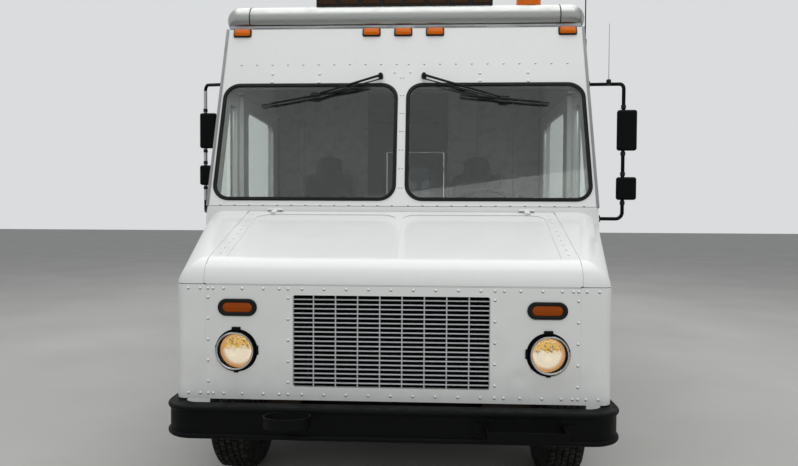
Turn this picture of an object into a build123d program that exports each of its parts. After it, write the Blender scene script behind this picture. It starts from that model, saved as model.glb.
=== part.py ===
"""A walk-in step van fitted out as a food truck, as separate pieces at real size, in millimetres.

X runs across, Y along with the nose at -Y, Z up from the road. Stations are distances behind the
flat face of the nose. The kerb side, with the serving hatch, is -X; the driver sits at +X.
"""
import os
from math import atan, cos, degrees, radians, sin, sqrt, tan

from build123d import *

os.makedirs("parts", exist_ok=True)

# Overall lengths
WHEELBASE = 3990
AXLE_S = 870
REAR_AXLE_S = AXLE_S + WHEELBASE
REAR_S = REAR_AXLE_S + 1440
BUMPER_REACH = 110
RING_OD = 205
RING_GAP = 14
RING_H = 45
RING_TILT = 8
RING_HALF = RING_OD / 2 * cos(radians(RING_TILT)) + RING_H / 2 * sin(radians(RING_TILT))
STEP_DEPTH = 230
AHEAD = BUMPER_REACH + RING_GAP + 2 * RING_HALF
NOSE_Y = AHEAD - (AHEAD + REAR_S + STEP_DEPTH) / 2

# Overall widths and heights
BODY_W = 2440
HALF = BODY_W / 2
NOSE_HALF = HALF - 200
FLOOR_Z = 780
ROOF_TOP = 2985
ROOF_Z = ROOF_TOP - 169
ROOF_R = 100
ROOF_T = 40
SKIRT_Z = FLOOR_Z - 355
COWL_Z = FLOOR_Z + 805
COWL_S = AXLE_S + 60
RAKE = 18.3

# Walls, floor and clearances
WALL = 45
NOSE_T = 25
FLOOR_T = 40
SILL_H = 40
SEAT = 0.3
PLAY = 6
RUN = 0.1
MARGIN = 20

# Frame rails, with the bumper and the nose's lower edge set from them
RAIL_OUT = 432
RAIL_H = 200
RAIL_FLANGE = 70
RAIL_T = 8
RAIL_TOP = FLOOR_Z - FLOOR_T - SILL_H
RAIL_BOTTOM = RAIL_TOP - RAIL_H
BUMPER_Z = (RAIL_BOTTOM + 5, RAIL_BOTTOM + 150)
NOSE_Z = BUMPER_Z[1] + 5

# Wheels, tyres and the room round them
TYRE_R = 407.5
TYRE_W = 226
RIM_R = 260
AXLE_Z = TYRE_R
FRONT_X = HALF - 283
DUAL_OUT_X = HALF - 150
DUAL_GAP = 254
KINGPIN_X = FRONT_X - 137
ARCH_R = TYRE_R + 92.5
REAR_ARCH_R = TYRE_R + 72.5
HOUSE_IN = HALF - 660
HOUSE_Z = AXLE_Z + ARCH_R + 37.5
HOUSE_T = 20
REAR_HOUSE_IN = HALF - 580
REAR_HOUSE_Z = AXLE_Z + REAR_ARCH_R + MARGIN
REAR_HOUSE_S = (REAR_AXLE_S - REAR_ARCH_R - MARGIN, REAR_AXLE_S + REAR_ARCH_R + MARGIN)

# Hood
HOOD_R = 130
HOOD_SLOPE = 15.5
HOOD_END_S = COWL_S - 6
HOOD_HALF_FRONT = NOSE_HALF - 140
HOOD_HALF_REAR = HOOD_HALF_FRONT + 60
HOOD_GAP = 10
SEAM_Z = COWL_Z - 385
SEAM_GAP = 3

# Cab doors, bulkhead and step wells
DOOR_T = 30
DOOR_OPEN_S = (COWL_S + 550, COWL_S + 1470)
DOOR_OPEN_Z = (SKIRT_Z + 45, ROOF_Z - 486)
DOOR_S = (DOOR_OPEN_S[0] - 30, DOOR_OPEN_S[1] + 30)
DOOR_Z = (DOOR_OPEN_Z[0] - 10, DOOR_OPEN_Z[1] + 50)
DOOR_WIN_S = (DOOR_S[0] + 118, DOOR_S[1] - 146)
DOOR_WIN_Z = (DOOR_Z[1] - 880, DOOR_Z[1] - 95)
DOOR_OUT_X = HALF - WALL - PLAY
DOOR_TRAVEL = 800
DOOR_R = 60
STEP_IN = HALF - 460
STEP_T = 25
STEP_S = (DOOR_S[0] - 30, DOOR_OPEN_S[1] + 30)
POCKET_END = DOOR_S[1] + DOOR_TRAVEL + 60
BULK_S = DOOR_S[1] + 30
BULK_T = 30
BULK_HALF = DOOR_OUT_X - DOOR_T - PLAY

# Kitchen, serving hatch, shelf and rear door
KITCHEN_S = (BULK_S + 960, REAR_S - 400)
HATCH_S = (KITCHEN_S[0] + 80, KITCHEN_S[1] - 300)
HATCH_Z = (FLOOR_Z + 920, ROOF_Z - 256)
COUNTER_Z = HATCH_Z[0] - 20
SHELF_Z = HATCH_Z[0] - 40
SHELF_W = 300
SHELF_T = 25
REAR_DOOR_HALF = 430
REAR_DOOR_Z = (FLOOR_Z + 10, ROOF_Z - 316)
REAR_DOOR_HINGE_Z = (REAR_DOOR_Z[0] + 250, REAR_DOOR_Z[1] - 250)
HINGE_R = 9
PIN_R = 4
HINGE_GAP = 3

# Raked front: outer plane through the cowl line, with its slope's own lengths
RAKE_PLANE = Plane(
    origin=(0, NOSE_Y + COWL_S, COWL_Z),
    x_dir=(1, 0, 0),
    z_dir=(0, -cos(radians(RAKE)), sin(radians(RAKE))),
)
RAKE_RUN = WALL / cos(radians(RAKE))


def at(station):
    """Y of a station behind the nose."""
    return NOSE_Y + station


def rake_s(z):
    """Station of the raked front's outer face at height z."""
    return COWL_S + (z - COWL_Z) * tan(radians(RAKE))


def up_slope(z):
    """Distance up the raked face of height z."""
    return (z - COWL_Z) / cos(radians(RAKE))


def save(part, label):
    """Label one piece and write it."""
    part.label = label
    export_step(part, f"parts/{label}.step")


def block(x, s, z, mode=Mode.ADD):
    """A box between two values on each axis, along Y given as stations."""
    with Locations(((x[0] + x[1]) / 2, at((s[0] + s[1]) / 2), (z[0] + z[1]) / 2)):
        Box(x[1] - x[0], s[1] - s[0], z[1] - z[0], mode=mode)


NOSE_CORNER_R = 50


def nose_block(inset):
    """The nose as a solid, its faces moved in by inset and its hood edges rolled."""
    r = HOOD_R - inset
    slope = tan(radians(HOOD_SLOPE))
    corner_z = SEAM_Z + r * tan(radians(45 - HOOD_SLOPE / 2))
    rear_z = corner_z + (COWL_S - inset) * slope
    front = NOSE_HALF - inset
    back = HALF - inset
    with BuildPart() as nose:
        with BuildSketch(Plane.YZ):
            Polygon(
                (at(COWL_S), NOSE_Z),
                (at(inset), NOSE_Z),
                (at(inset), corner_z),
                (at(COWL_S), rear_z),
                align=None,
            )
        extrude(amount=HALF, both=True)
        with BuildSketch(Plane.XY.offset(NOSE_Z)):
            Polygon(
                (-front, at(inset)),
                (front, at(inset)),
                (back, at(COWL_S)),
                (-back, at(COWL_S)),
                align=None,
            )
        extrude(amount=ROOF_Z, mode=Mode.INTERSECT)
        rim = nose.faces().sort_by(Axis.Z)[-1].edges().sort_by(Axis.Y)
        fillet(rim[:-1], r)
        corners = nose.edges().filter_by(Axis.Z).group_by(Axis.Y)[0]
        fillet(corners, NOSE_CORNER_R - inset)
    return nose.part


def hood_prism(gap, end):
    """What the hood covers in plan back to station end, grown by gap at its sides."""
    half_end = HOOD_HALF_FRONT + (HOOD_HALF_REAR - HOOD_HALF_FRONT) * end / HOOD_END_S
    with BuildPart() as prism:
        with BuildSketch(Plane.XY.offset(SEAM_Z)):
            Polygon(
                (-HOOD_HALF_FRONT - gap, at(-1)),
                (HOOD_HALF_FRONT + gap, at(-1)),
                (half_end + gap, at(end)),
                (-half_end - gap, at(end)),
                align=None,
            )
        extrude(amount=COWL_Z)
    return prism.part


# Nose: the shell that its three panels are parted from
nose_shell = nose_block(0) - nose_block(NOSE_T)
front_arch = Pos(0, at(AXLE_S), AXLE_Z) * Rot(0, 90, 0) * Cylinder(ARCH_R, 2 * BODY_W)

# Headlamps, turn signals and grille opening in the nose face
LAMP_X = NOSE_HALF - 288
LAMP_Z = SEAM_Z - 313
LAMP_OD = 183
LENS_R = LAMP_OD / 2 - 12
BUCKET_OD = 204
BUCKET_DEEP = 60
SIGNAL_X = LAMP_X - 6
SIGNAL_Z = SEAM_Z - 108
GROMMET = (186, 81)
GROMMET_LIP = 8
SIGNAL = (141, 46)
GRILLE_HALF = LAMP_X - 269
GRILLE_Z = (NOSE_Z + 62, SEAM_Z - 48)
GRILLE_R = 12
FACE_HALF = NOSE_HALF - 140

with BuildPart() as nose_panel:
    add(nose_shell)
    block((-FACE_HALF, FACE_HALF), (-1, NOSE_T), (NOSE_Z, SEAM_Z - SEAM_GAP), Mode.INTERSECT)
    with BuildSketch(Plane.XZ.offset(-at(0))):
        with Locations((0, sum(GRILLE_Z) / 2)):
            RectangleRounded(2 * GRILLE_HALF, GRILLE_Z[1] - GRILLE_Z[0], GRILLE_R)
        for side in (-1, 1):
            with Locations((side * LAMP_X, LAMP_Z)):
                Circle(BUCKET_OD / 2)
            with Locations((side * SIGNAL_X, SIGNAL_Z)):
                SlotOverall(GROMMET[0] - 2 * GROMMET_LIP, GROMMET[1] - 2 * GROMMET_LIP)
    extrude(amount=-2 * NOSE_T, mode=Mode.SUBTRACT)
save(nose_panel.part, "nose_panel")

with BuildPart() as fenders:
    add(nose_shell)
    add(hood_prism(HOOD_GAP, COWL_S + 1), mode=Mode.SUBTRACT)
    face_x = (-FACE_HALF - SEAT, FACE_HALF + SEAT)
    block(face_x, (-1, NOSE_T + 1), (NOSE_Z, SEAM_Z), Mode.SUBTRACT)
    block((-HALF, HALF), (COWL_S - SEAT, COWL_S + 1), (NOSE_Z, ROOF_Z), Mode.SUBTRACT)
    block((-HALF, HALF), (-1, HOOD_R), (SEAM_Z, SEAM_Z + SEAM_GAP), Mode.SUBTRACT)
    add(front_arch, mode=Mode.SUBTRACT)
save(fenders.part, "fenders")

# Hood: the sloping panel with its rolled front edge, and the knuckles of its two hinges
HINGE_X = HOOD_HALF_REAR - 163
HINGE_S = COWL_S - 9
HINGE_Z = COWL_Z - 20
KNUCKLE_L = 30
KNUCKLE_GAP = 2
LEAF_D = 62
LEAF_H = 14
POCKET_DEEP = 5
POCKET_R = 90
POCKET_RIB = 20
POCKET_SIDE = 70
POCKET_RUN = (6, HOOD_END_S - HOOD_R)
hood_clear = SEAM_Z + SEAM_GAP
slope_start = (
    HOOD_R - HOOD_R * cos(radians(90 - HOOD_SLOPE)),
    SEAM_Z + HOOD_R * sin(radians(90 - HOOD_SLOPE)),
)
SLOPE_PLANE = Plane(
    origin=(0, at(slope_start[0]), slope_start[1]),
    x_dir=(1, 0, 0),
    z_dir=(0, -sin(radians(HOOD_SLOPE)), cos(radians(HOOD_SLOPE))),
)

with BuildPart() as hood:
    add(nose_shell & hood_prism(0, HOOD_END_S))
    block((-HALF, HALF), (-1, HOOD_END_S), (SEAM_Z - 1, hood_clear), mode=Mode.SUBTRACT)
    for side in (-1, 1):
        with BuildSketch(SLOPE_PLANE) as pocket:
            Polygon(
                (side * POCKET_RIB, POCKET_RUN[0]),
                (side * (HOOD_HALF_FRONT - POCKET_SIDE), POCKET_RUN[0]),
                (side * (HOOD_HALF_REAR - POCKET_SIDE), POCKET_RUN[1]),
                (side * POCKET_RIB, POCKET_RUN[1]),
                align=None,
            )
            fillet(pocket.vertices().group_by(Axis.Y)[-1], POCKET_R)
        extrude(amount=-POCKET_DEEP, mode=Mode.SUBTRACT)
        with Locations(Location((side * HINGE_X, at(HINGE_S), HINGE_Z), (0, 90, 0))):
            Cylinder(HINGE_R, KNUCKLE_L)
        leaf_y = at(HINGE_S - LEAF_D / 2 - KNUCKLE_GAP)
        with Locations(Location((side * HINGE_X, leaf_y, HINGE_Z - LEAF_H), (HOOD_SLOPE, 0, 0))):
            Box(KNUCKLE_L, LEAF_D, LEAF_H)
        with Locations(Location((side * HINGE_X, at(HINGE_S), HINGE_Z), (0, 90, 0))):
            Cylinder(PIN_R + RUN, 2 * KNUCKLE_L, mode=Mode.SUBTRACT)
save(hood.part, "hood")

# Cab front: raked wall with its two windscreen openings, the cowl strip and the firewall
WIN_IN = 26
WIN_OUT = HALF - 28
WIN_Z = (COWL_Z + 37, ROOF_Z - 405)
WIN_R = 90
SEAL_OVER = 20
SEAL_UNDER = 22
SEAL_T = 8
PANE_T = 6
CORNER_R = 25


def windscreen(side, grow):
    """Outline of one windscreen opening on the raked face, grown on every side."""
    low = up_slope(WIN_Z[0]) + SEAL_OVER - grow
    high = up_slope(WIN_Z[1]) - SEAL_OVER + grow
    inner = WIN_IN + SEAL_OVER - grow
    outer = WIN_OUT - SEAL_OVER + grow
    with Locations((side * (inner + outer) / 2, (low + high) / 2)):
        RectangleRounded(outer - inner, high - low, WIN_R + grow)


with BuildPart() as cab_front:
    with BuildSketch(Plane.YZ.offset(-HALF)):
        Polygon(
            (at(COWL_S), COWL_Z),
            (at(rake_s(ROOF_Z)), ROOF_Z),
            (at(rake_s(ROOF_Z) + RAKE_RUN), ROOF_Z),
            (at(COWL_S + RAKE_RUN), COWL_Z),
            (at(COWL_S + RAKE_RUN), FLOOR_Z - FLOOR_T),
            (at(COWL_S), FLOOR_Z - FLOOR_T),
            align=None,
        )
    extrude(amount=BODY_W)
    raked_edges = cab_front.faces().filter_by(RAKE_PLANE).sort_by(Axis.Y)[0].edges().sort_by(Axis.X)
    fillet([raked_edges[0], raked_edges[-1]], CORNER_R)
    for side in (-1, 1):
        side_x = sorted((side * HOUSE_IN, side * (HALF + 1)))
        block(side_x, (COWL_S - 1, COWL_S + RAKE_RUN + 1), (0, HOUSE_Z), mode=Mode.SUBTRACT)
    with BuildSketch(RAKE_PLANE):
        windscreen(-1, 0)
        windscreen(1, 0)
    extrude(amount=-3 * WALL, mode=Mode.SUBTRACT)
    for side in (-1, 1):
        for step in (-1, 1):
            knuckle_x = side * HINGE_X + step * (KNUCKLE_L + KNUCKLE_GAP)
            with Locations(Location((knuckle_x, at(HINGE_S), HINGE_Z), (0, 90, 0))):
                Cylinder(HINGE_R, KNUCKLE_L)
            leaf_x = (knuckle_x - KNUCKLE_L / 2, knuckle_x + KNUCKLE_L / 2)
            block(leaf_x, (HINGE_S, COWL_S + 2), (HINGE_Z, HINGE_Z + HINGE_R))
        with Locations(Location((side * HINGE_X, at(HINGE_S), HINGE_Z), (0, 90, 0))):
            Cylinder(PIN_R, 3 * KNUCKLE_L)
save(cab_front.part, "cab_front")

with BuildPart() as windscreen_seals:
    with BuildSketch(RAKE_PLANE):
        windscreen(-1, SEAL_OVER)
        windscreen(1, SEAL_OVER)
    extrude(amount=SEAL_T)
    with BuildSketch(RAKE_PLANE):
        windscreen(-1, -SEAL_UNDER)
        windscreen(1, -SEAL_UNDER)
    extrude(amount=SEAL_T, mode=Mode.SUBTRACT)
save(windscreen_seals.part, "windscreen_seals")

# Side walls: one plate each with arches, door opening, quarter window, hatch and rub rails
QUARTER_Z = (COWL_Z + 55, DOOR_WIN_Z[1])
QUARTER_MARGIN = 70
QUARTER_BACK = DOOR_S[0] - 35
GLASS_IN = 20
RUB_T = 10
RUB_H = 50
RUB_Z = (RAIL_TOP - 60, FLOOR_Z + 220)
TRACK_H = 20
BELT_Z = RUB_Z[1] + 300
PANEL_S = (DOOR_OPEN_S[0] - MARGIN, DOOR_OPEN_S[1] + MARGIN, HATCH_S[0] - MARGIN, HATCH_S[1] + MARGIN)


def quarter(grow):
    """Corners of the quarter window between the raked front and the door."""
    low, high = QUARTER_Z[0] - grow, QUARTER_Z[1] + grow
    front_low = rake_s(low) + RAKE_RUN + QUARTER_MARGIN - grow
    front_high = rake_s(high) + RAKE_RUN + QUARTER_MARGIN - grow
    back = QUARTER_BACK + grow
    return [(at(front_low), low), (at(back), low), (at(back), high), (at(front_high), high)]


# Hinge lines of the serving hatch and shelf, each an X and a height, and their hinges' stations
HATCH_AXIS = (-HALF - HINGE_R - HINGE_GAP, HATCH_Z[1] + HINGE_R)
SHELF_AXIS = (-HALF - HINGE_R - HINGE_GAP, SHELF_Z)
HATCH_HINGE_S = (HATCH_S[0] + 300, sum(HATCH_S) / 2, HATCH_S[1] - 300)
LEAF_L = 80


def fixed_knuckles(axis):
    """The wall's half of the hinges along one line, with their pins."""
    for s in HATCH_HINGE_S:
        for step in (-1, 1):
            knuckle_s = s + step * (LEAF_L * 3 / 4 + KNUCKLE_GAP)
            with Locations(Location((axis[0], at(knuckle_s), axis[1]), (90, 0, 0))):
                Cylinder(HINGE_R, LEAF_L / 2)
            block(
                (axis[0], -HALF),
                (knuckle_s - LEAF_L / 4, knuckle_s + LEAF_L / 4),
                (axis[1], axis[1] + HINGE_R),
            )
        with Locations(Location((axis[0], at(s), axis[1]), (90, 0, 0))):
            Cylinder(PIN_R, 2 * LEAF_L)


def side_wall(side):
    """One side wall, side +1 for the driver's and -1 for the kerb's."""
    inner = min(side * (HALF - WALL), side * HALF)
    wall_end = REAR_S - WALL
    with BuildPart() as wall:
        with BuildSketch(Plane.YZ.offset(inner)) as face:
            Polygon(
                (at(COWL_S + RAKE_RUN), COWL_Z),
                (at(rake_s(ROOF_Z) + RAKE_RUN), ROOF_Z),
                (at(wall_end), ROOF_Z),
                (at(wall_end), SKIRT_Z),
                (at(COWL_S + RAKE_RUN), SKIRT_Z),
                align=None,
            )
            with Locations((at(AXLE_S), AXLE_Z)):
                Circle(ARCH_R, mode=Mode.SUBTRACT)
            with Locations((at(REAR_AXLE_S), AXLE_Z)):
                Circle(REAR_ARCH_R, mode=Mode.SUBTRACT)
            with Locations((at(sum(DOOR_OPEN_S) / 2), sum(DOOR_OPEN_Z) / 2)):
                RectangleRounded(
                    DOOR_OPEN_S[1] - DOOR_OPEN_S[0],
                    DOOR_OPEN_Z[1] - DOOR_OPEN_Z[0],
                    DOOR_R,
                    mode=Mode.SUBTRACT,
                )
            Polygon(*quarter(0), align=None, mode=Mode.SUBTRACT)
            if side < 0:
                with Locations((at(sum(HATCH_S) / 2), sum(HATCH_Z) / 2)):
                    Rectangle(
                        HATCH_S[1] - HATCH_S[0], HATCH_Z[1] - HATCH_Z[0], mode=Mode.SUBTRACT
                    )
        extrude(amount=WALL)
        rub_x = sorted((side * HALF, side * (HALF + RUB_T)))
        for z in RUB_Z:
            runs = [(DOOR_OPEN_S[1] + 40, wall_end)]
            if z < AXLE_Z + REAR_ARCH_R:
                arch_half = sqrt(REAR_ARCH_R**2 - (z - AXLE_Z) ** 2) + 30
                runs = [
                    (DOOR_OPEN_S[1] + 40, REAR_AXLE_S - arch_half),
                    (REAR_AXLE_S + arch_half, wall_end),
                ]
            for run in runs:
                block(rub_x, run, (z - RUB_H / 2, z + RUB_H / 2))
        if side < 0:
            fixed_knuckles(HATCH_AXIS)
            fixed_knuckles(SHELF_AXIS)
        track_x = sorted((side * (HALF - WALL), side * (DOOR_OUT_X - DOOR_T)))
        track_s = (DOOR_S[0] - 10, DOOR_S[1] + DOOR_TRAVEL + 30)
        block(track_x, track_s, (DOOR_Z[0] - SEAT - TRACK_H, DOOR_Z[0] - SEAT))
        block(track_x, track_s, (DOOR_Z[1] + PLAY, DOOR_Z[1] + PLAY + TRACK_H))
        seam_x = sorted((side * BULK_HALF, side * (HALF + 2 * RUB_T)))
        for seam in PANEL_S:
            block(seam_x, (seam, seam + SEAT), (0, ROOF_Z), mode=Mode.SUBTRACT)
        block(seam_x, (0, PANEL_S[0]), (BELT_Z, BELT_Z + SEAT), mode=Mode.SUBTRACT)
        block(seam_x, PANEL_S[2:], (BELT_Z, BELT_Z + SEAT), mode=Mode.SUBTRACT)
    return wall.part


save(side_wall(1), "side_wall_left")
save(side_wall(-1), "side_wall_right")

with BuildPart() as cab_glass:
    with BuildSketch(RAKE_PLANE.offset(-SEAT - PANE_T)):
        windscreen(-1, -SEAT)
        windscreen(1, -SEAT)
    extrude(amount=PANE_T)
    for x in (HALF - GLASS_IN, -HALF + GLASS_IN - PANE_T):
        with BuildSketch(Plane.YZ.offset(x)):
            Polygon(*quarter(-SEAT), align=None)
        extrude(amount=PANE_T)
save(cab_glass.part, "cab_glass")

# Roof: bows and skin as one shell with rounded edges, parted from the cap along its front
CAP_LEN = 300
CAP_CORNER = 158
roof_s = (rake_s(ROOF_Z), REAR_S)


def roof_block(inset):
    """The roof's solid form, its faces moved in by inset."""
    with BuildPart() as form:
        with Locations((0, at(sum(roof_s) / 2), (ROOF_Z + ROOF_TOP) / 2 - inset / 2)):
            Box(BODY_W - 2 * inset, roof_s[1] - roof_s[0] - 2 * inset, ROOF_TOP - ROOF_Z - inset)
        top = form.faces().sort_by(Axis.Z)[-1].edges()
        uprights = form.edges().filter_by(Axis.Z)
        fillet(top + uprights, ROOF_R - inset)
    return form.part


roof_shell = roof_block(0) - roof_block(ROOF_T)

with BuildPart() as roof_cap:
    add(roof_shell)
    block((-HALF, HALF), (0, roof_s[0] + CAP_LEN), (ROOF_Z, ROOF_TOP), Mode.INTERSECT)
    for side in (-1, 1):
        seam_x = sorted((side * (HALF - CAP_CORNER), side * (HALF - CAP_CORNER + SEAT)))
        block(seam_x, (0, roof_s[0] + CAP_LEN), (ROOF_Z, ROOF_TOP), Mode.SUBTRACT)
save(roof_cap.part, "roof_cap")

with BuildPart() as roof:
    add(roof_shell)
    block(
        (-HALF, HALF), (roof_s[0] + CAP_LEN + SEAT, REAR_S), (ROOF_Z, ROOF_TOP), Mode.INTERSECT
    )
save(roof.part, "roof")

# Floor: plate on cross sills, wheelhouses and the two step wells, each its own piece
SILL_W = 60
SILL_S = (STEP_S[0] - 20, BULK_S - 20)
SILL_FROM_AXLE = (-1860, -1300, -740, 700, 1240)
sills = [(s, STEP_IN - SEAT) for s in SILL_S]
for step in SILL_FROM_AXLE:
    s = REAR_AXLE_S + step
    sills.append((s, BULK_HALF if s < POCKET_END else HALF - WALL))

with BuildPart() as floor_plate:
    plate_z = (FLOOR_Z - FLOOR_T, FLOOR_Z)
    front_half = HOUSE_IN - HOUSE_T - SEAT
    block((-front_half, front_half), (COWL_S + RAKE_RUN, STEP_S[0]), plate_z)
    block((-BULK_HALF, BULK_HALF), (STEP_S[0], POCKET_END), plate_z)
    block((-HALF + WALL, HALF - WALL), (POCKET_END, REAR_S - WALL), plate_z)
    for sill, reach in sills:
        block((-reach, reach), (sill, sill + SILL_W), (RAIL_TOP, FLOOR_Z - FLOOR_T))
    for side in (-1, 1):
        well_room = sorted((side * (STEP_IN - SEAT), side * HALF))
        block(well_room, (STEP_S[0] - 1, STEP_S[1] + SEAT), (0, FLOOR_Z), mode=Mode.SUBTRACT)
        house_room = sorted((side * (REAR_HOUSE_IN - SEAT), side * HALF))
        house_s = (REAR_HOUSE_S[0] - SEAT, REAR_HOUSE_S[1] + SEAT)
        block(house_room, house_s, (0, FLOOR_Z), mode=Mode.SUBTRACT)


def step_well(side):
    """The sunk step inside one cab door."""
    well_x = sorted((side * STEP_IN, side * BULK_HALF))
    cut_x = sorted((side * (STEP_IN + HOUSE_T), side * (BULK_HALF + 1)))
    cut_s = (STEP_S[0] + HOUSE_T, STEP_S[1] - HOUSE_T)
    with BuildPart() as well:
        block(well_x, STEP_S, (SKIRT_Z, FLOOR_Z))
        block(cut_x, cut_s, (SKIRT_Z + STEP_T, FLOOR_Z + 1), mode=Mode.SUBTRACT)
    return well.part


def front_house(side):
    """The cover over one front wheel, with the step down behind it."""
    inner = sorted((side * (HOUSE_IN - HOUSE_T), side * HOUSE_IN))
    lip_x = sorted((side * (HOUSE_IN - HOUSE_T), side * BULK_HALF))
    house_s = (COWL_S + RAKE_RUN, STEP_S[0])
    top_z = (HOUSE_Z, HOUSE_Z + HOUSE_T)
    with BuildPart() as house:
        block(sorted((side * (HOUSE_IN - HOUSE_T), side * (HALF - WALL))), house_s, top_z)
        block(inner, house_s, (FLOOR_Z - FLOOR_T, HOUSE_Z))
        block(lip_x, (STEP_S[0], STEP_S[0] + HOUSE_T), (FLOOR_Z + SEAT, HOUSE_Z + HOUSE_T))
    return house.part


def rear_house(side):
    """The cover over one pair of rear wheels."""
    house_x = sorted((side * REAR_HOUSE_IN, side * (HALF - WALL)))
    hole_x = sorted((side * (REAR_HOUSE_IN + HOUSE_T), side * HALF))
    hole_s = (REAR_HOUSE_S[0] + HOUSE_T, REAR_HOUSE_S[1] - HOUSE_T)
    with BuildPart() as house:
        block(house_x, REAR_HOUSE_S, (FLOOR_Z - FLOOR_T, REAR_HOUSE_Z + HOUSE_T))
        block(hole_x, hole_s, (0, REAR_HOUSE_Z), mode=Mode.SUBTRACT)
    return house.part


floor_pieces = [floor_plate.part]
for side in (-1, 1):
    floor_pieces += [step_well(side), front_house(side), rear_house(side)]
save(Compound(floor_pieces), "floor")

# Bulkhead behind the seats with its walkway
WALK_HALF = 350
WALK_Z = ROOF_Z - 216

with BuildPart() as bulkhead:
    block((-BULK_HALF, BULK_HALF), (BULK_S, BULK_S + BULK_T), (FLOOR_Z, ROOF_Z))
    block((-WALK_HALF, WALK_HALF), (BULK_S - 1, BULK_S + BULK_T + 1), (FLOOR_Z, WALK_Z), mode=Mode.SUBTRACT)
    block((-HALF + ROOF_R, HALF - ROOF_R), (BULK_S, BULK_S + BULK_T), (ROOF_Z, ROOF_TOP - ROOF_T))
save(bulkhead.part, "bulkhead")

# Rear wall with one door opening, and the door's hinge line as an X and a station
door_hinge = (REAR_DOOR_HALF + HINGE_R, REAR_S + HINGE_R + HINGE_GAP)

with BuildPart() as rear_wall:
    block((-HALF, HALF), (REAR_S - WALL, REAR_S), (RAIL_TOP, ROOF_Z))
    block(
        (-REAR_DOOR_HALF, REAR_DOOR_HALF),
        (REAR_S - WALL - 1, REAR_S + 1),
        REAR_DOOR_Z,
        mode=Mode.SUBTRACT,
    )
    for z in REAR_DOOR_HINGE_Z:
        for step in (-1, 1):
            with Locations((door_hinge[0], at(door_hinge[1]), z + step * 52)):
                Cylinder(HINGE_R, 50)
        with Locations((door_hinge[0], at(door_hinge[1]), z)):
            Cylinder(PIN_R, 150)
        leaf_x = (door_hinge[0] + HINGE_R - 4, door_hinge[0] + 60)
        for low, high in ((z - 77, z - 27), (z + 27, z + 77)):
            block(leaf_x, (REAR_S, REAR_S + HINGE_R + HINGE_GAP), (low, high))
save(rear_wall.part, "rear_wall")

# Rear door
REAR_WIN = (420, 480)
REAR_WIN_R = 50
REAR_WIN_Z = ROOF_Z - 766
HANDLE_Z = (FLOOR_Z + 670, FLOOR_Z + 870)
HANDLE_OUT = 45

with BuildPart() as rear_door:
    door_x = (-REAR_DOOR_HALF + PLAY, REAR_DOOR_HALF - PLAY)
    door_z = (REAR_DOOR_Z[0] + PLAY, REAR_DOOR_Z[1] - PLAY)
    block(door_x, (REAR_S - WALL, REAR_S), door_z)
    with BuildSketch(Plane.XZ.offset(-at(REAR_S) - 1)):
        with Locations((0, REAR_WIN_Z)):
            RectangleRounded(*REAR_WIN, REAR_WIN_R)
    extrude(amount=WALL + 2, mode=Mode.SUBTRACT)
    for z in REAR_DOOR_HINGE_Z:
        with Locations((door_hinge[0], at(door_hinge[1]), z)):
            Cylinder(HINGE_R, 50)
        leaf_s = (REAR_S, REAR_S + HINGE_R + HINGE_GAP)
        block((door_hinge[0] - 60, door_hinge[0] - 4), leaf_s, (z - 25, z + 25))
        with Locations((door_hinge[0], at(door_hinge[1]), z)):
            Cylinder(PIN_R + RUN, 60, mode=Mode.SUBTRACT)
    handle_x = -REAR_DOOR_HALF + 90
    for low, high in ((HANDLE_Z[0], HANDLE_Z[0] + 20), (HANDLE_Z[1] - 20, HANDLE_Z[1])):
        block((handle_x - 15, handle_x + 15), (REAR_S, REAR_S + HANDLE_OUT), (low, high))
    block((handle_x - 12, handle_x + 12), (REAR_S + HANDLE_OUT - 12, REAR_S + HANDLE_OUT), HANDLE_Z)
save(rear_door.part, "rear_door")

with BuildPart() as rear_door_glass:
    with BuildSketch(Plane.XZ.offset(-at(REAR_S - 15))):
        with Locations((0, REAR_WIN_Z)):
            RectangleRounded(REAR_WIN[0] - 2 * SEAT, REAR_WIN[1] - 2 * SEAT, REAR_WIN_R - SEAT)
    extrude(amount=PANE_T)
save(rear_door_glass.part, "rear_door_glass")

# Sliding cab doors
for side, name in ((1, "left"), (-1, "right")):
    door_x = sorted((side * DOOR_OUT_X, side * (DOOR_OUT_X - DOOR_T)))
    with BuildPart() as door:
        with BuildSketch(Plane.YZ.offset(door_x[0])):
            with Locations((at(sum(DOOR_S) / 2), sum(DOOR_Z) / 2)):
                RectangleRounded(DOOR_S[1] - DOOR_S[0], DOOR_Z[1] - DOOR_Z[0], 20)
            with Locations((at(sum(DOOR_WIN_S) / 2), sum(DOOR_WIN_Z) / 2)):
                RectangleRounded(
                    DOOR_WIN_S[1] - DOOR_WIN_S[0],
                    DOOR_WIN_Z[1] - DOOR_WIN_Z[0],
                    DOOR_R,
                    mode=Mode.SUBTRACT,
                )
        extrude(amount=DOOR_T)
    save(door.part, f"door_{name}")
    pane_x = side * (DOOR_OUT_X - DOOR_T / 2) - PANE_T / 2
    with BuildPart() as pane:
        with BuildSketch(Plane.YZ.offset(pane_x)):
            with Locations((at(sum(DOOR_WIN_S) / 2), sum(DOOR_WIN_Z) / 2)):
                RectangleRounded(
                    DOOR_WIN_S[1] - DOOR_WIN_S[0] - 2 * SEAT,
                    DOOR_WIN_Z[1] - DOOR_WIN_Z[0] - 2 * SEAT,
                    DOOR_R - SEAT,
                )
        extrude(amount=PANE_T)
    save(pane.part, f"door_{name}_glass")

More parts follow.
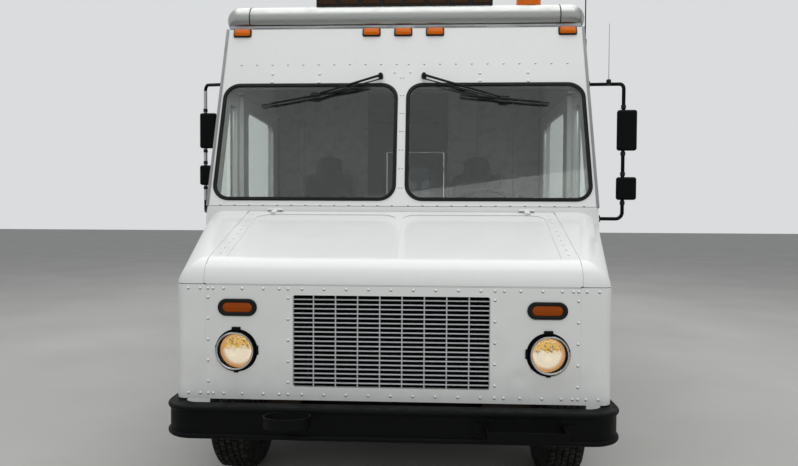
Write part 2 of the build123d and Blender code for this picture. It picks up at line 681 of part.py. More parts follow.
# Serving hatch, hinged along its top, and the shelf folded down below it
with BuildPart() as serving_hatch:
    hatch_s = (HATCH_S[0] + PLAY, HATCH_S[1] - PLAY)
    block((-HALF, -HALF + WALL), hatch_s, (HATCH_Z[0] + PLAY, HATCH_Z[1] - PLAY))
    for s in HATCH_HINGE_S:
        leaf_s = (s - LEAF_L / 2, s + LEAF_L / 2)
        with Locations(Location((HATCH_AXIS[0], at(s), HATCH_AXIS[1]), (90, 0, 0))):
            Cylinder(HINGE_R, LEAF_L)
        block((HATCH_AXIS[0] - HINGE_R + 2, -HALF), leaf_s, (HATCH_Z[1] - 70, HATCH_Z[1] - PLAY))
        block((HATCH_AXIS[0] - HINGE_R + 2, -HALF - 6), leaf_s, (HATCH_Z[1] - 70, HATCH_AXIS[1] - 4))
        with Locations(Location((HATCH_AXIS[0], at(s), HATCH_AXIS[1]), (90, 0, 0))):
            Cylinder(PIN_R + RUN, 2 * LEAF_L, mode=Mode.SUBTRACT)
save(serving_hatch.part, "serving_hatch")

with BuildPart() as serving_shelf:
    shelf_x = (-HALF - PLAY - SHELF_T, -HALF - PLAY)
    block(shelf_x, HATCH_S, (SHELF_Z - SHELF_W, SHELF_Z - HINGE_R - 3))
    for s in HATCH_HINGE_S:
        leaf_s = (s - LEAF_L / 2, s + LEAF_L / 2)
        with Locations(Location((SHELF_AXIS[0], at(s), SHELF_AXIS[1]), (90, 0, 0))):
            Cylinder(HINGE_R, LEAF_L)
        block((SHELF_AXIS[0] - HINGE_R, SHELF_AXIS[0] + 4), leaf_s, (SHELF_Z - 40, SHELF_Z))
        with Locations(Location((SHELF_AXIS[0], at(s), SHELF_AXIS[1]), (90, 0, 0))):
            Cylinder(PIN_R + RUN, 2 * LEAF_L, mode=Mode.SUBTRACT)
save(serving_shelf.part, "serving_shelf")

# Chassis rails with cross members and the horns that carry the bumper
RAIL_START = 30
HORN_X = (RAIL_OUT - 52, RAIL_OUT - RAIL_T)
BUMPER_T = 8
ENGINE_S = (180, 880)
GEARBOX_END = 1540
ENGINE_Z = RAIL_BOTTOM + 40
CROSS_S = (
    RAIL_START + 70,
    GEARBOX_END + 20,
    BULK_S + 40,
    REAR_AXLE_S - 1160,
    REAR_AXLE_S + 440,
    REAR_S - 120,
)

with BuildPart() as frame_rails:
    for side in (-1, 1):
        web = sorted((side * (RAIL_OUT - RAIL_T), side * RAIL_OUT))
        flange = sorted((side * (RAIL_OUT - RAIL_FLANGE), side * RAIL_OUT))
        rail_s = (RAIL_START, REAR_S)
        block(web, rail_s, (RAIL_BOTTOM, RAIL_TOP))
        block(flange, rail_s, (RAIL_TOP - RAIL_T, RAIL_TOP))
        block(flange, rail_s, (RAIL_BOTTOM, RAIL_BOTTOM + RAIL_T))
        horn = sorted((side * HORN_X[0], side * HORN_X[1]))
        block(horn, (-BUMPER_REACH + BUMPER_T, RAIL_START + 60), (RAIL_BOTTOM + 35, RAIL_BOTTOM + 120))
    for s in CROSS_S:
        block((-RAIL_OUT + RAIL_T, RAIL_OUT - RAIL_T), (s, s + 60), (RAIL_TOP - 100, RAIL_TOP - 20))
    low_s = (ENGINE_S[0] + 240, ENGINE_S[0] + 340)
    block((-RAIL_OUT + RAIL_T, RAIL_OUT - RAIL_T), low_s, (RAIL_BOTTOM, ENGINE_Z))
save(frame_rails.part, "frame_rails")

# Engine with its gearbox, as plain blocks at their place
RADIATOR_HALF = GRILLE_HALF - 63

with BuildPart() as engine_block:
    block((-300, 300), ENGINE_S, (ENGINE_Z, ENGINE_Z + 500))
    block((-170, 170), (ENGINE_S[1], GEARBOX_END), (ENGINE_Z, RAIL_TOP - 5))
save(engine_block.part, "engine_block")

with BuildPart() as radiator:
    block((-RADIATOR_HALF, RADIATOR_HALF), (60, 120), (RAIL_TOP, SEAM_Z - 50))
save(radiator.part, "radiator")

# Bumper: channel with rolled lips, wrapped round at its ends
BUMPER_HALF = NOSE_HALF + 30
BUMPER_R = 140
BUMPER_RETURN = 250
LIP_R = 13
BUMPER_FLANGE = 70

with BuildPart() as front_bumper:
    with BuildLine() as bumper_path:
        mid_z = sum(BUMPER_Z) / 2
        front_y = at(-BUMPER_REACH)
        FilletPolyline(
            (-BUMPER_HALF, front_y + BUMPER_RETURN, mid_z),
            (-BUMPER_HALF, front_y, mid_z),
            (BUMPER_HALF, front_y, mid_z),
            (BUMPER_HALF, front_y + BUMPER_RETURN, mid_z),
            radius=BUMPER_R,
        )
    start_plane = Plane(
        origin=(-BUMPER_HALF, front_y + BUMPER_RETURN, mid_z), x_dir=(-1, 0, 0), z_dir=(0, -1, 0)
    )
    half_h = (BUMPER_Z[1] - BUMPER_Z[0]) / 2
    with BuildSketch(start_plane):
        with Locations((-BUMPER_T / 2, 0)):
            Rectangle(BUMPER_T, 2 * half_h)
        for up in (-1, 1):
            with Locations((-BUMPER_FLANGE / 2, up * (half_h - BUMPER_T / 2))):
                Rectangle(BUMPER_FLANGE, BUMPER_T)
            with Locations((-2, up * (half_h - LIP_R + 2))):
                Circle(LIP_R)
    sweep(path=bumper_path.wire())
save(front_bumper.part, "front_bumper")

# Brackets on the bumper: a hoop that holds a traffic cone and an open tray of flat bar
RING_X = -RAIL_OUT - 6
RING_T = 5
RING_Z = BUMPER_Z[1] + 5
CLIP_HALF = 30
TRAY_X = (RAIL_OUT - 2, RAIL_OUT + 346)
TRAY_DEPTH = 118
TRAY_H = 47
TRAY_Z = BUMPER_Z[1] - 50
TAB_W = 52

with BuildPart() as bumper_brackets:
    ring_y = at(-BUMPER_REACH - RING_GAP - RING_HALF)
    ring_at = Location((RING_X, ring_y, RING_Z - RING_H / 2), (-RING_TILT, 0, 0))
    with Locations(ring_at):
        Cylinder(RING_OD / 2, RING_H)
        Cylinder(RING_OD / 2 - RING_T, RING_H + 20, mode=Mode.SUBTRACT)
    clip_s = (-BUMPER_REACH - RING_GAP - RING_T - 2, -BUMPER_REACH)
    clip_x = (RING_X - CLIP_HALF, RING_X + CLIP_HALF)
    block(clip_x, clip_s, (RING_Z - 100, RING_Z - 35))
    tray_s = (-BUMPER_REACH - TRAY_DEPTH, -BUMPER_REACH)
    tray_z = (TRAY_Z - TRAY_H, TRAY_Z)
    block(TRAY_X, (tray_s[0], tray_s[0] + RING_T), tray_z)
    block((TRAY_X[0], TRAY_X[0] + RING_T), tray_s, tray_z)
    block((TRAY_X[1] - RING_T, TRAY_X[1]), tray_s, tray_z)
    block((TRAY_X[0] - TAB_W, TRAY_X[0]), (-BUMPER_REACH - RING_T, -BUMPER_REACH), tray_z)
    block((TRAY_X[1], TRAY_X[1] + TAB_W), (-BUMPER_REACH - RING_T, -BUMPER_REACH), tray_z)
save(bumper_brackets.part, "bumper_brackets")

# Grille: thin level bars on upright rods in a narrow frame
BAR_COUNT = 19
BAR_H = 6
BAR_D = 16
BAR_IN = 4
ROD_COUNT = 8
ROD_PITCH = 104
ROD_R = 3.5
GRILLE_T = 18
FRAME_W = 8
bar_pitch = (GRILLE_Z[1] - GRILLE_Z[0] - 2 * FRAME_W) / (BAR_COUNT + 1)

with BuildPart() as grille:
    with BuildSketch(Plane.XZ.offset(-at(GRILLE_T + 3))):
        with Locations((0, sum(GRILLE_Z) / 2)):
            RectangleRounded(
                2 * GRILLE_HALF - 2 * SEAT, GRILLE_Z[1] - GRILLE_Z[0] - 2 * SEAT, GRILLE_R - SEAT
            )
            RectangleRounded(
                2 * GRILLE_HALF - 2 * FRAME_W,
                GRILLE_Z[1] - GRILLE_Z[0] - 2 * FRAME_W,
                GRILLE_R / 2,
                mode=Mode.SUBTRACT,
            )
    extrude(amount=GRILLE_T)
    for n in range(BAR_COUNT):
        z = GRILLE_Z[0] + FRAME_W + (n + 1) * bar_pitch
        block(
            (-GRILLE_HALF + FRAME_W / 2, GRILLE_HALF - FRAME_W / 2),
            (BAR_IN, BAR_IN + BAR_D),
            (z - BAR_H / 2, z + BAR_H / 2),
        )
    rod_h = GRILLE_Z[1] - GRILLE_Z[0] - FRAME_W
    for n in range(ROD_COUNT):
        x = (n - (ROD_COUNT - 1) / 2) * ROD_PITCH
        with Locations((x, at(BAR_IN + BAR_D / 2), sum(GRILLE_Z) / 2)):
            Box(2 * ROD_R, 2 * ROD_R, rod_h)
save(grille.part, "grille")

# Lamps in the nose: bucket and bright ring, domed lens, grommets and amber lenses
RING_OUT = 12
DOME_R = 200
DOME_OUT = 14

with BuildPart() as headlamp_rings:
    for side in (-1, 1):
        with BuildSketch(Plane.XZ.offset(-at(BUCKET_DEEP))):
            with Locations((side * LAMP_X, LAMP_Z)):
                Circle(BUCKET_OD / 2 - SEAT)
                Circle(LENS_R, mode=Mode.SUBTRACT)
        extrude(amount=BUCKET_DEEP - 8)
        with BuildSketch(Plane.XZ.offset(-at(10))):
            with Locations((side * LAMP_X, LAMP_Z)):
                Circle(LAMP_OD / 2)
                Circle(LENS_R, mode=Mode.SUBTRACT)
        extrude(amount=10 + RING_OUT)
save(headlamp_rings.part, "headlamp_rings")


def headlamp_lens(side):
    """One domed glass that fills the bucket."""
    lens_l = BUCKET_DEEP + DOME_OUT
    with BuildPart() as lens:
        with Locations(Location((side * LAMP_X, at(BUCKET_DEEP - lens_l / 2), LAMP_Z), (90, 0, 0))):
            Cylinder(LENS_R - SEAT, lens_l)
        with Locations((side * LAMP_X, at(DOME_R - DOME_OUT), LAMP_Z)):
            Sphere(DOME_R, mode=Mode.INTERSECT)
    return lens.part


save(Compound([headlamp_lens(-1), headlamp_lens(1)]), "headlamp_lenses")

MARKER = (122, 60)
MARKER_T = 28
MARKER_PITCH = 216
MARKER_X = (114 - HALF, -MARKER_PITCH, 0, MARKER_PITCH, HALF - 114)
MARKER_Z = ROOF_Z - 36
MARKER_BASE = 8
BAR_HALF = 615
BAR_S = COWL_S + 495
BAR_LIFT = 10
BAR_TALL = 70
BAR_DEEP = 60
BAR_FRAME = 12
MODULES = 8
MODULE_DEEP = 25
BEACON_X = HALF - 340
BEACON_S = BAR_S + 120
BEACON_R = 88
BEACON_H = 120
BEACON_FOOT = 20
SIGNAL_DEEP = 16
SIGNAL_LIP = 7

with BuildPart() as lamp_housings:
    for side in (-1, 1):
        with BuildSketch(Plane.XZ.offset(-at(SIGNAL_DEEP + 4))):
            with Locations((side * SIGNAL_X, SIGNAL_Z)):
                neck = GROMMET_LIP + SEAT
                SlotOverall(GROMMET[0] - 2 * neck, GROMMET[1] - 2 * neck)
        extrude(amount=SIGNAL_DEEP + 4)
        with BuildSketch(Plane.XZ.offset(-at(0))):
            with Locations((side * SIGNAL_X, SIGNAL_Z)):
                SlotOverall(*GROMMET)
        extrude(amount=SIGNAL_LIP)
        with BuildSketch(Plane.XZ.offset(-at(SIGNAL_DEEP))):
            with Locations((side * SIGNAL_X, SIGNAL_Z)):
                SlotOverall(*SIGNAL)
        extrude(amount=40, mode=Mode.SUBTRACT)
    for x in MARKER_X:
        with BuildSketch(RAKE_PLANE):
            with Locations((x, up_slope(MARKER_Z))):
                RectangleRounded(*MARKER, 8)
        extrude(amount=MARKER_BASE)
    bar_z = ROOF_TOP + BAR_LIFT
    block((-BAR_HALF, BAR_HALF), (BAR_S, BAR_S + BAR_DEEP), (bar_z, bar_z + BAR_TALL))
    for foot_x in (-BAR_HALF + 60, 0, BAR_HALF - 60):
        block((foot_x - 25, foot_x + 25), (BAR_S + 25, BAR_S + BAR_DEEP), (ROOF_TOP, bar_z))
    module_w = 2 * BAR_HALF / MODULES
    for n in range(MODULES):
        x = -BAR_HALF + (n + 0.5) * module_w
        block(
            (x - module_w / 2 + BAR_FRAME, x + module_w / 2 - BAR_FRAME),
            (BAR_S - 1, BAR_S + MODULE_DEEP),
            (bar_z + BAR_FRAME, bar_z + BAR_TALL - BAR_FRAME),
            mode=Mode.SUBTRACT,
        )
    with Locations((BEACON_X, at(BEACON_S), ROOF_TOP + BEACON_FOOT / 2)):
        Cylinder(BEACON_R + 4, BEACON_FOOT)
save(lamp_housings.part, "lamp_housings")

with BuildPart() as beacon_dome:
    with Locations((BEACON_X, at(BEACON_S), ROOF_TOP + BEACON_FOOT + BEACON_H / 2)):
        Cylinder(BEACON_R, BEACON_H)
    fillet(beacon_dome.edges().sort_by(Axis.Z)[-1], BEACON_R / 2)

with BuildPart() as amber_lenses:
    for side in (-1, 1):
        with BuildSketch(Plane.XZ.offset(-at(SIGNAL_DEEP - SEAT))):
            with Locations((side * SIGNAL_X, SIGNAL_Z)):
                SlotOverall(SIGNAL[0] - 2 * SEAT, SIGNAL[1] - 2 * SEAT)
        extrude(amount=SIGNAL_DEEP + SIGNAL_LIP - 1)
    for x in MARKER_X:
        with BuildSketch(RAKE_PLANE.offset(MARKER_BASE)):
            with Locations((x, up_slope(MARKER_Z))):
                RectangleRounded(MARKER[0] - 14, MARKER[1] - 14, 6)
        extrude(amount=MARKER_T - MARKER_BASE)
    for n in range(MODULES):
        x = -BAR_HALF + (n + 0.5) * module_w
        block(
            (x - module_w / 2 + BAR_FRAME + SEAT, x + module_w / 2 - BAR_FRAME - SEAT),
            (BAR_S + 3, BAR_S + MODULE_DEEP - SEAT),
            (bar_z + BAR_FRAME + SEAT, bar_z + BAR_TALL - BAR_FRAME - SEAT),
        )
    add(beacon_dome.part)
save(amber_lenses.part, "amber_lenses")


def tube(points, r, bend):
    """A round bar along straight runs joined by tangent arcs."""
    with BuildPart() as bar:
        with BuildLine() as route:
            FilletPolyline(*points, radius=bend)
        run = route.wire()
        with BuildSketch(Plane(origin=run @ 0, z_dir=run % 0)):
            Circle(r)
        sweep(path=run)
    return bar.part


# Mirrors on their looped arms; the kerb side's is folded back, the driver's stands forward
MIRROR_X = HALF + 185
ARM_SHIFT = 22
ARM_R = 11
FOOT_T = 16
FOOT_BACK = 80
HEAD = (120, 40, 252)
LOW_HEAD = (118, 50, 142)
HEAD_R = 16
# Each arm: side, station, then drops below the roof line of the bar's outer end, its foot, the
# head and the lower head, and the low bar's drop below the cowl
ARMS = (
    (-1, COWL_S + 550, 352, 391, 679, 998, 25),
    (1, COWL_S + 80, 461, 403, 747, 1108, 66),
)


def mirror_head(size, x, s, z):
    """One mirror's housing with soft edges."""
    with BuildPart() as head:
        with Locations((x, at(s), z)):
            Box(*size)
        fillet(head.edges(), HEAD_R)
    return head.part


mirror_pieces = []
mirror_feet = []
for side, arm_s, top, foot, head, low_head, low in ARMS:
    head_x = side * MIRROR_X
    arm_x = head_x - ARM_SHIFT
    mirror_pieces.append(mirror_head(HEAD, head_x, arm_s, ROOF_Z - head))
    mirror_pieces.append(mirror_head(LOW_HEAD, head_x, arm_s, ROOF_Z - low_head))
    foot_s, foot_z = rake_s(ROOF_Z - foot) + FOOT_BACK, ROOF_Z - foot
    low_s, low_z = COWL_S + FOOT_BACK, COWL_Z - low
    route = [
        (side * (HALF + FOOT_T), at(foot_s), foot_z),
        (arm_x, at(arm_s), ROOF_Z - top),
        (arm_x, at(arm_s), low_z),
        (side * (HALF + FOOT_T), at(low_s), low_z),
    ]
    mirror_pieces.append(tube(route, ARM_R, 40))
    mirror_feet += [(side, foot_s, foot_z), (side, low_s, low_z)]

with BuildPart() as mirrors:
    add(mirror_pieces)
    for side, foot_s, foot_z in mirror_feet:
        foot_at = (side * (HALF + FOOT_T / 2 + 4), at(foot_s), foot_z)
        with Locations(Location(foot_at, (0, 90, 0))):
            Cylinder(22, FOOT_T + 8)
save(mirrors.part, "mirrors")

# Wipers: a pivot above each windscreen, two arms and a blade
PIVOT_X = 143
PIVOT_Z = WIN_Z[1] + 41
# Each blade end: its X and its drop from the windscreen's top
BLADES = (
    (-PIVOT_X, (268 - WIN_OUT, 163), (-WIN_IN - 187, 31)),
    (PIVOT_X, (WIN_IN + 353, 97), (WIN_OUT - 240, 153)),
)


def bar_on_rake(a, b, width, low, high):
    """A flat bar standing on the raked face from a to b, each an X and a height."""
    ax, av = a[0], up_slope(a[1])
    bx, bv = b[0], up_slope(b[1])
    length = sqrt((bx - ax) ** 2 + (bv - av) ** 2)
    angle = degrees(atan((bv - av) / (bx - ax)))
    with BuildPart() as bar:
        with BuildSketch(RAKE_PLANE.offset(low)):
            with Locations(Location(((ax + bx) / 2, (av + bv) / 2, 0), (0, 0, angle))):
                Rectangle(length, width)
        extrude(amount=high - low)
    return bar.part


wiper_bars = []
for pivot, first, last in BLADES:
    tip = (first[0], WIN_Z[1] - first[1])
    heel = (last[0], WIN_Z[1] - last[1])
    middle = ((tip[0] + heel[0]) / 2, (tip[1] + heel[1]) / 2)
    wiper_bars.append(bar_on_rake((pivot, PIVOT_Z), middle, 14, 26, 38))
    wiper_bars.append(bar_on_rake(tip, heel, 22, SEAL_T + SEAT, 30))

with BuildPart() as wipers:
    add(wiper_bars)
    for side in (-1, 1):
        with BuildSketch(RAKE_PLANE):
            with Locations((side * PIVOT_X, up_slope(PIVOT_Z))):
                Circle(17)
        extrude(amount=40)
save(wipers.part, "wipers")

WHIP_Z = ROOF_Z - 126
WHIP_L = 600
whip_y = at(rake_s(WHIP_Z) + 60)

with BuildPart() as antennas:
    with Locations((HALF + 12, whip_y, WHIP_Z + WHIP_L / 2)):
        Cylinder(4, WHIP_L)
    with Locations((HALF + 8, whip_y, WHIP_Z + 10)):
        Box(16, 40, 60)
save(antennas.part, "antennas")

# Roof fan over the cook line: a square curb, a round neck and a flat cap
FAN_X = HALF - 720
FAN_S = REAR_AXLE_S - 260
FAN_PARTS = ((250, 0, 80), (200, 80, 260), (270, 260, 320))

with BuildPart() as roof_fan:
    for r, low, high in FAN_PARTS:
        with Locations((FAN_X, at(FAN_S), ROOF_TOP + (low + high) / 2)):
            if low == 0:
                Box(2 * r, 2 * r, high)
            else:
                Cylinder(r, high - low)
save(roof_fan.part, "roof_fan")

# Rear bumper step and lamps
REAR_STEP_Z = (RAIL_BOTTOM - 60, RAIL_BOTTOM + 40)
STEP_HALF = HALF - 120
STEP_SHEET = 8
REAR_LAMP_X = HALF - 130
REAR_LAMP_R = 55
REAR_LAMP_Z = (FLOOR_Z + 120, FLOOR_Z + 300, FLOOR_Z + 480)

with BuildPart() as rear_bumper:
    step_s = (REAR_S + 15, REAR_S + STEP_DEPTH)
    block((-STEP_HALF, STEP_HALF), step_s, REAR_STEP_Z)
    block(
        (-STEP_HALF + STEP_SHEET, STEP_HALF - STEP_SHEET),
        (step_s[0] - 1, step_s[1] - STEP_SHEET),
        (REAR_STEP_Z[0] - 1, REAR_STEP_Z[1] - STEP_SHEET),
        Mode.SUBTRACT,
    )
    for side in (-1, 1):
        arm = sorted((side * (RAIL_OUT - 60), side * RAIL_OUT))
        block(arm, (REAR_S, step_s[1] - 4), (RAIL_BOTTOM, REAR_STEP_Z[1] - 4))
save(rear_bumper.part, "rear_bumper")

with BuildPart() as rear_lamps:
    for side in (-1, 1):
        for z in REAR_LAMP_Z:
            with BuildSketch(Plane.XZ.offset(-at(REAR_S))):
                with Locations((side * REAR_LAMP_X, z)):
                    Circle(REAR_LAMP_R)
            extrude(amount=-25)
save(rear_lamps.part, "rear_lamps")

# Seats on their pedestals: a cushion, a back and a domed head
SEAT_X = (-650, 580)
SEAT_S = BULK_S - 320
SEAT_W = 500
CUSHION = (SEAT_W, 480, 120)
CUSHION_Z = FLOOR_Z + 440
BACK_T = 100
BACK_H = 700
DOME_W = 290
DOME_H = 850


def seat(x):
    """One cab seat."""
    with BuildPart() as form:
        with Locations((x, at(SEAT_S - 200), CUSHION_Z + CUSHION[2] / 2)):
            Box(*CUSHION)
        fillet(form.edges(), 30)
        with BuildSketch(Plane.XZ.offset(-at(SEAT_S + 40 + BACK_T))):
            with Locations((x, CUSHION_Z + BACK_H / 2)):
                RectangleRounded(SEAT_W, BACK_H, 110)
            with Locations((x, CUSHION_Z + DOME_H / 2)):
                RectangleRounded(DOME_W, DOME_H, 110)
        extrude(amount=BACK_T)
    return form.part


save(Compound([seat(x) for x in SEAT_X]), "seats")

with BuildPart() as seat_bases:
    for x in SEAT_X:
        with Locations((x * 0.92, at(SEAT_S - 180), (FLOOR_Z + CUSHION_Z) / 2)):
            Box(300, 320, CUSHION_Z - FLOOR_Z)
save(seat_bases.part, "seat_bases")

DASH_S = COWL_S + 320
DASH_Z = (COWL_Z - 345, COWL_Z - 45)
DASH_HALF = BULK_HALF - 33

with BuildPart() as dashboard:
    with BuildSketch(Plane.YZ):
        Polygon(
            (at(COWL_S + RAKE_RUN), DASH_Z[0]),
            (at(DASH_S), DASH_Z[0]),
            (at(DASH_S), DASH_Z[1] - 40),
            (at(COWL_S + RAKE_RUN), DASH_Z[1]),
            align=None,
        )
    extrude(amount=DASH_HALF, both=True)
    binnacle = (SEAT_X[1] - 190, SEAT_X[1] + 190)
    block(binnacle, (DASH_S - 160, DASH_S - 20), (DASH_Z[1] - 60, DASH_Z[1] + 40))
save(dashboard.part, "dashboard")

COLUMN_TILT = 40
COLUMN_R = 26
WHEEL_R = 205
WHEEL_RIM_R = 15
WHEEL_S = DASH_S + 310
WHEEL_Z = COWL_Z - 25

with BuildPart() as steering_wheel:
    column_l = (WHEEL_S - DASH_S) / cos(radians(COLUMN_TILT)) + 60
    wheel_at = Location((SEAT_X[1], at(WHEEL_S), WHEEL_Z), (COLUMN_TILT - 90, 0, 0))
    with Locations(wheel_at):
        Torus(WHEEL_R, WHEEL_RIM_R)
        Cylinder(55, 2 * WHEEL_RIM_R)
        Box(2 * WHEEL_R, 34, 12)
    with Locations(wheel_at * Pos(0, 0, -column_l / 2)):
        Cylinder(COLUMN_R, column_l)
    block((0, HALF), (COWL_S, DASH_S + SEAT), (FLOOR_Z, COWL_Z), Mode.SUBTRACT)
save(steering_wheel.part, "steering_wheel")

# Kitchen: open cabinets along both walls, a cook line and its extractor on the driver's side
TOP_T = 40
PANEL_T = 25
KITCHEN_OUT = HALF - WALL - SEAT
COUNTER_IN = HALF - 660
LINE_IN = HALF - 700
LOW_SHELF_Z = REAR_HOUSE_Z + HOUSE_T
SHELVES_Z = (LOW_SHELF_Z, (LOW_SHELF_Z + COUNTER_Z) / 2)
LEGS_S = (
    KITCHEN_S[0],
    REAR_HOUSE_S[0] - PLAY - PANEL_T,
    REAR_HOUSE_S[1] + PLAY,
    KITCHEN_S[1] - PANEL_T,
)


def cabinet(side, inner):
    """An open cabinet along one wall: top, two shelves and the panels it stands on."""
    cabinet_x = sorted((side * inner, side * KITCHEN_OUT))
    with BuildPart() as form:
        block(cabinet_x, KITCHEN_S, (COUNTER_Z - TOP_T, COUNTER_Z))
        for z in SHELVES_Z:
            block(cabinet_x, KITCHEN_S, (z, z + PANEL_T))
        for s in LEGS_S:
            block(cabinet_x, (s, s + PANEL_T), (FLOOR_Z, COUNTER_Z - TOP_T))
    return form.part


save(cabinet(-1, COUNTER_IN), "serving_counter")

GRIDDLE_S = (KITCHEN_S[0] + 700, KITCHEN_S[0] + 1500)
FRYER_S = (GRIDDLE_S[1] + 60, GRIDDLE_S[1] + 520)
GRIDDLE_H = 90
GUARD_H = 60
FRYER_H = 130
VATS = ((40, 210), (250, 420))
HOOD_X = (LINE_IN - 100, HALF - ROOF_R - MARGIN)
EXTRACTOR_S = (GRIDDLE_S[0] - 220, FRYER_S[1] + 180)
EXTRACTOR_Z = (ROOF_Z - 366, ROOF_TOP - ROOF_T)
FRIDGE_X = (LINE_IN + 25, BULK_HALF - PLAY)
FRIDGE_S = (BULK_S + 110, BULK_S + 820)
FRIDGE_Z = (FLOOR_Z, FLOOR_Z + 1850)
FRIDGE_DOOR = 18
stove_x = (LINE_IN + 30, KITCHEN_OUT - 60)

with BuildPart() as griddle:
    block(stove_x, GRIDDLE_S, (COUNTER_Z + SEAT, COUNTER_Z + GRIDDLE_H + GUARD_H))
    plate_x = (stove_x[0] - 1, stove_x[1] - 15)
    plate_s = (GRIDDLE_S[0] + 15, GRIDDLE_S[1] - 15)
    block(plate_x, plate_s, (COUNTER_Z + GRIDDLE_H, ROOF_Z), mode=Mode.SUBTRACT)

with BuildPart() as fryer:
    block(stove_x, FRYER_S, (COUNTER_Z + SEAT, COUNTER_Z + FRYER_H))
    for low, high in VATS:
        vat_s = (FRYER_S[0] + low, FRYER_S[0] + high)
        block((stove_x[0] + 90, stove_x[1] - 60), vat_s, (COUNTER_Z + 40, ROOF_Z), Mode.SUBTRACT)

with BuildPart() as extractor:
    block(HOOD_X, EXTRACTOR_S, EXTRACTOR_Z)
    inner_x = (HOOD_X[0] + PANEL_T, HOOD_X[1] - PANEL_T)
    inner_s = (EXTRACTOR_S[0] + PANEL_T, EXTRACTOR_S[1] - PANEL_T)
    block(inner_x, inner_s, (EXTRACTOR_Z[0] - 1, EXTRACTOR_Z[0] + 160), mode=Mode.SUBTRACT)

with BuildPart() as fridge:
    block(FRIDGE_X, FRIDGE_S, FRIDGE_Z)
    door_x = (FRIDGE_X[0] - PLAY - FRIDGE_DOOR, FRIDGE_X[0] - PLAY)
    gasket_s = (FRIDGE_S[0] + MARGIN, FRIDGE_S[1] - MARGIN)
    split_z = (FRIDGE_Z[0] + FRIDGE_Z[1]) / 2
    for low, high in ((FRIDGE_Z[0] + 100, split_z - PLAY), (split_z + PLAY, FRIDGE_Z[1])):
        block(door_x, FRIDGE_S, (low, high))
        block((door_x[1], FRIDGE_X[0]), gasket_s, (low + MARGIN, high - MARGIN))

kitchen = [cabinet(1, LINE_IN), griddle.part, fryer.part, extractor.part, fridge.part]
save(Compound(kitchen), "cook_line")

# Axles, springs, tie rod
BEAM_DROP = 55
SPRING_X = 397
REAR_SPRING_X = 500
SPRING_W = 64
BOSS_R = 36
BOSS_H = 110
PIN_KING_R = 18
ARM_OUT = 28

with BuildPart() as front_axle:
    beam_z = AXLE_Z - BEAM_DROP
    beam_half = KINGPIN_X - 240
    block((-beam_half, beam_half), (AXLE_S - 35, AXLE_S + 35), (beam_z - 40, beam_z + 35))
    for side in (-1, 1):
        with BuildSketch(Plane.XZ.offset(-at(AXLE_S))):
            Polygon(
                (side * (beam_half - 20), beam_z - 40),
                (side * (beam_half - 20), beam_z + 35),
                (side * KINGPIN_X, AXLE_Z + 40),
                (side * KINGPIN_X, AXLE_Z - 40),
                align=None,
            )
        extrude(amount=35, both=True)
        with Locations((side * KINGPIN_X, at(AXLE_S), AXLE_Z)):
            Cylinder(BOSS_R, BOSS_H)
            Cylinder(PIN_KING_R, BOSS_H + 2 * ARM_OUT + 8)
save(front_axle.part, "front_axle")

SPINDLE_R = 28
SPINDLE_END = FRONT_X + 143
CHEEK_X = KINGPIN_X + 50
CHEEK_T = 22
TIE_BACK = 175
TIE_PIN_R = 9
EYE_H = 30
tie_z = AXLE_Z - BOSS_H / 2 - SEAT - ARM_OUT
for side, name in ((1, "left"), (-1, "right")):
    with BuildPart() as knuckle:
        for up in (-1, 1):
            z = AXLE_Z + up * (BOSS_H / 2 + SEAT + ARM_OUT / 2)
            with Locations((side * KINGPIN_X, at(AXLE_S), z)):
                Cylinder(BOSS_R, ARM_OUT)
            arm_x = sorted((side * KINGPIN_X, side * (CHEEK_X + 10)))
            block(arm_x, (AXLE_S - BOSS_R, AXLE_S + BOSS_R), (z - ARM_OUT / 2, z + ARM_OUT / 2))
        cheek = sorted((side * CHEEK_X, side * (CHEEK_X + CHEEK_T)))
        cheek_h = BOSS_H / 2 + SEAT + ARM_OUT
        block(cheek, (AXLE_S - 50, AXLE_S + 50), (AXLE_Z - cheek_h, AXLE_Z + cheek_h))
        spindle_l = SPINDLE_END - CHEEK_X
        with Locations(Location((side * (CHEEK_X + spindle_l / 2), at(AXLE_S), AXLE_Z), (0, 90, 0))):
            Cylinder(SPINDLE_R, spindle_l)
        arm = sorted((side * (KINGPIN_X - 15), side * (KINGPIN_X + 15)))
        block(arm, (AXLE_S + 10, AXLE_S + TIE_BACK + 15), (tie_z, tie_z + ARM_OUT - 6))
        with Locations((side * KINGPIN_X, at(AXLE_S), AXLE_Z)):
            Cylinder(PIN_KING_R + RUN, 400, mode=Mode.SUBTRACT)
        with Locations((side * KINGPIN_X, at(AXLE_S + TIE_BACK), tie_z - 16)):
            Cylinder(TIE_PIN_R, 36)
    save(knuckle.part, f"knuckle_{name}")

with BuildPart() as tie_rod:
    with Locations(Location((0, at(AXLE_S + TIE_BACK), tie_z - 20), (0, 90, 0))):
        Cylinder(13, 2 * KINGPIN_X - 30)
    for side in (-1, 1):
        with Locations((side * KINGPIN_X, at(AXLE_S + TIE_BACK), tie_z - 20)):
            Cylinder(22, EYE_H)
            Cylinder(TIE_PIN_R + RUN, EYE_H + 10, mode=Mode.SUBTRACT)
save(tie_rod.part, "tie_rod")

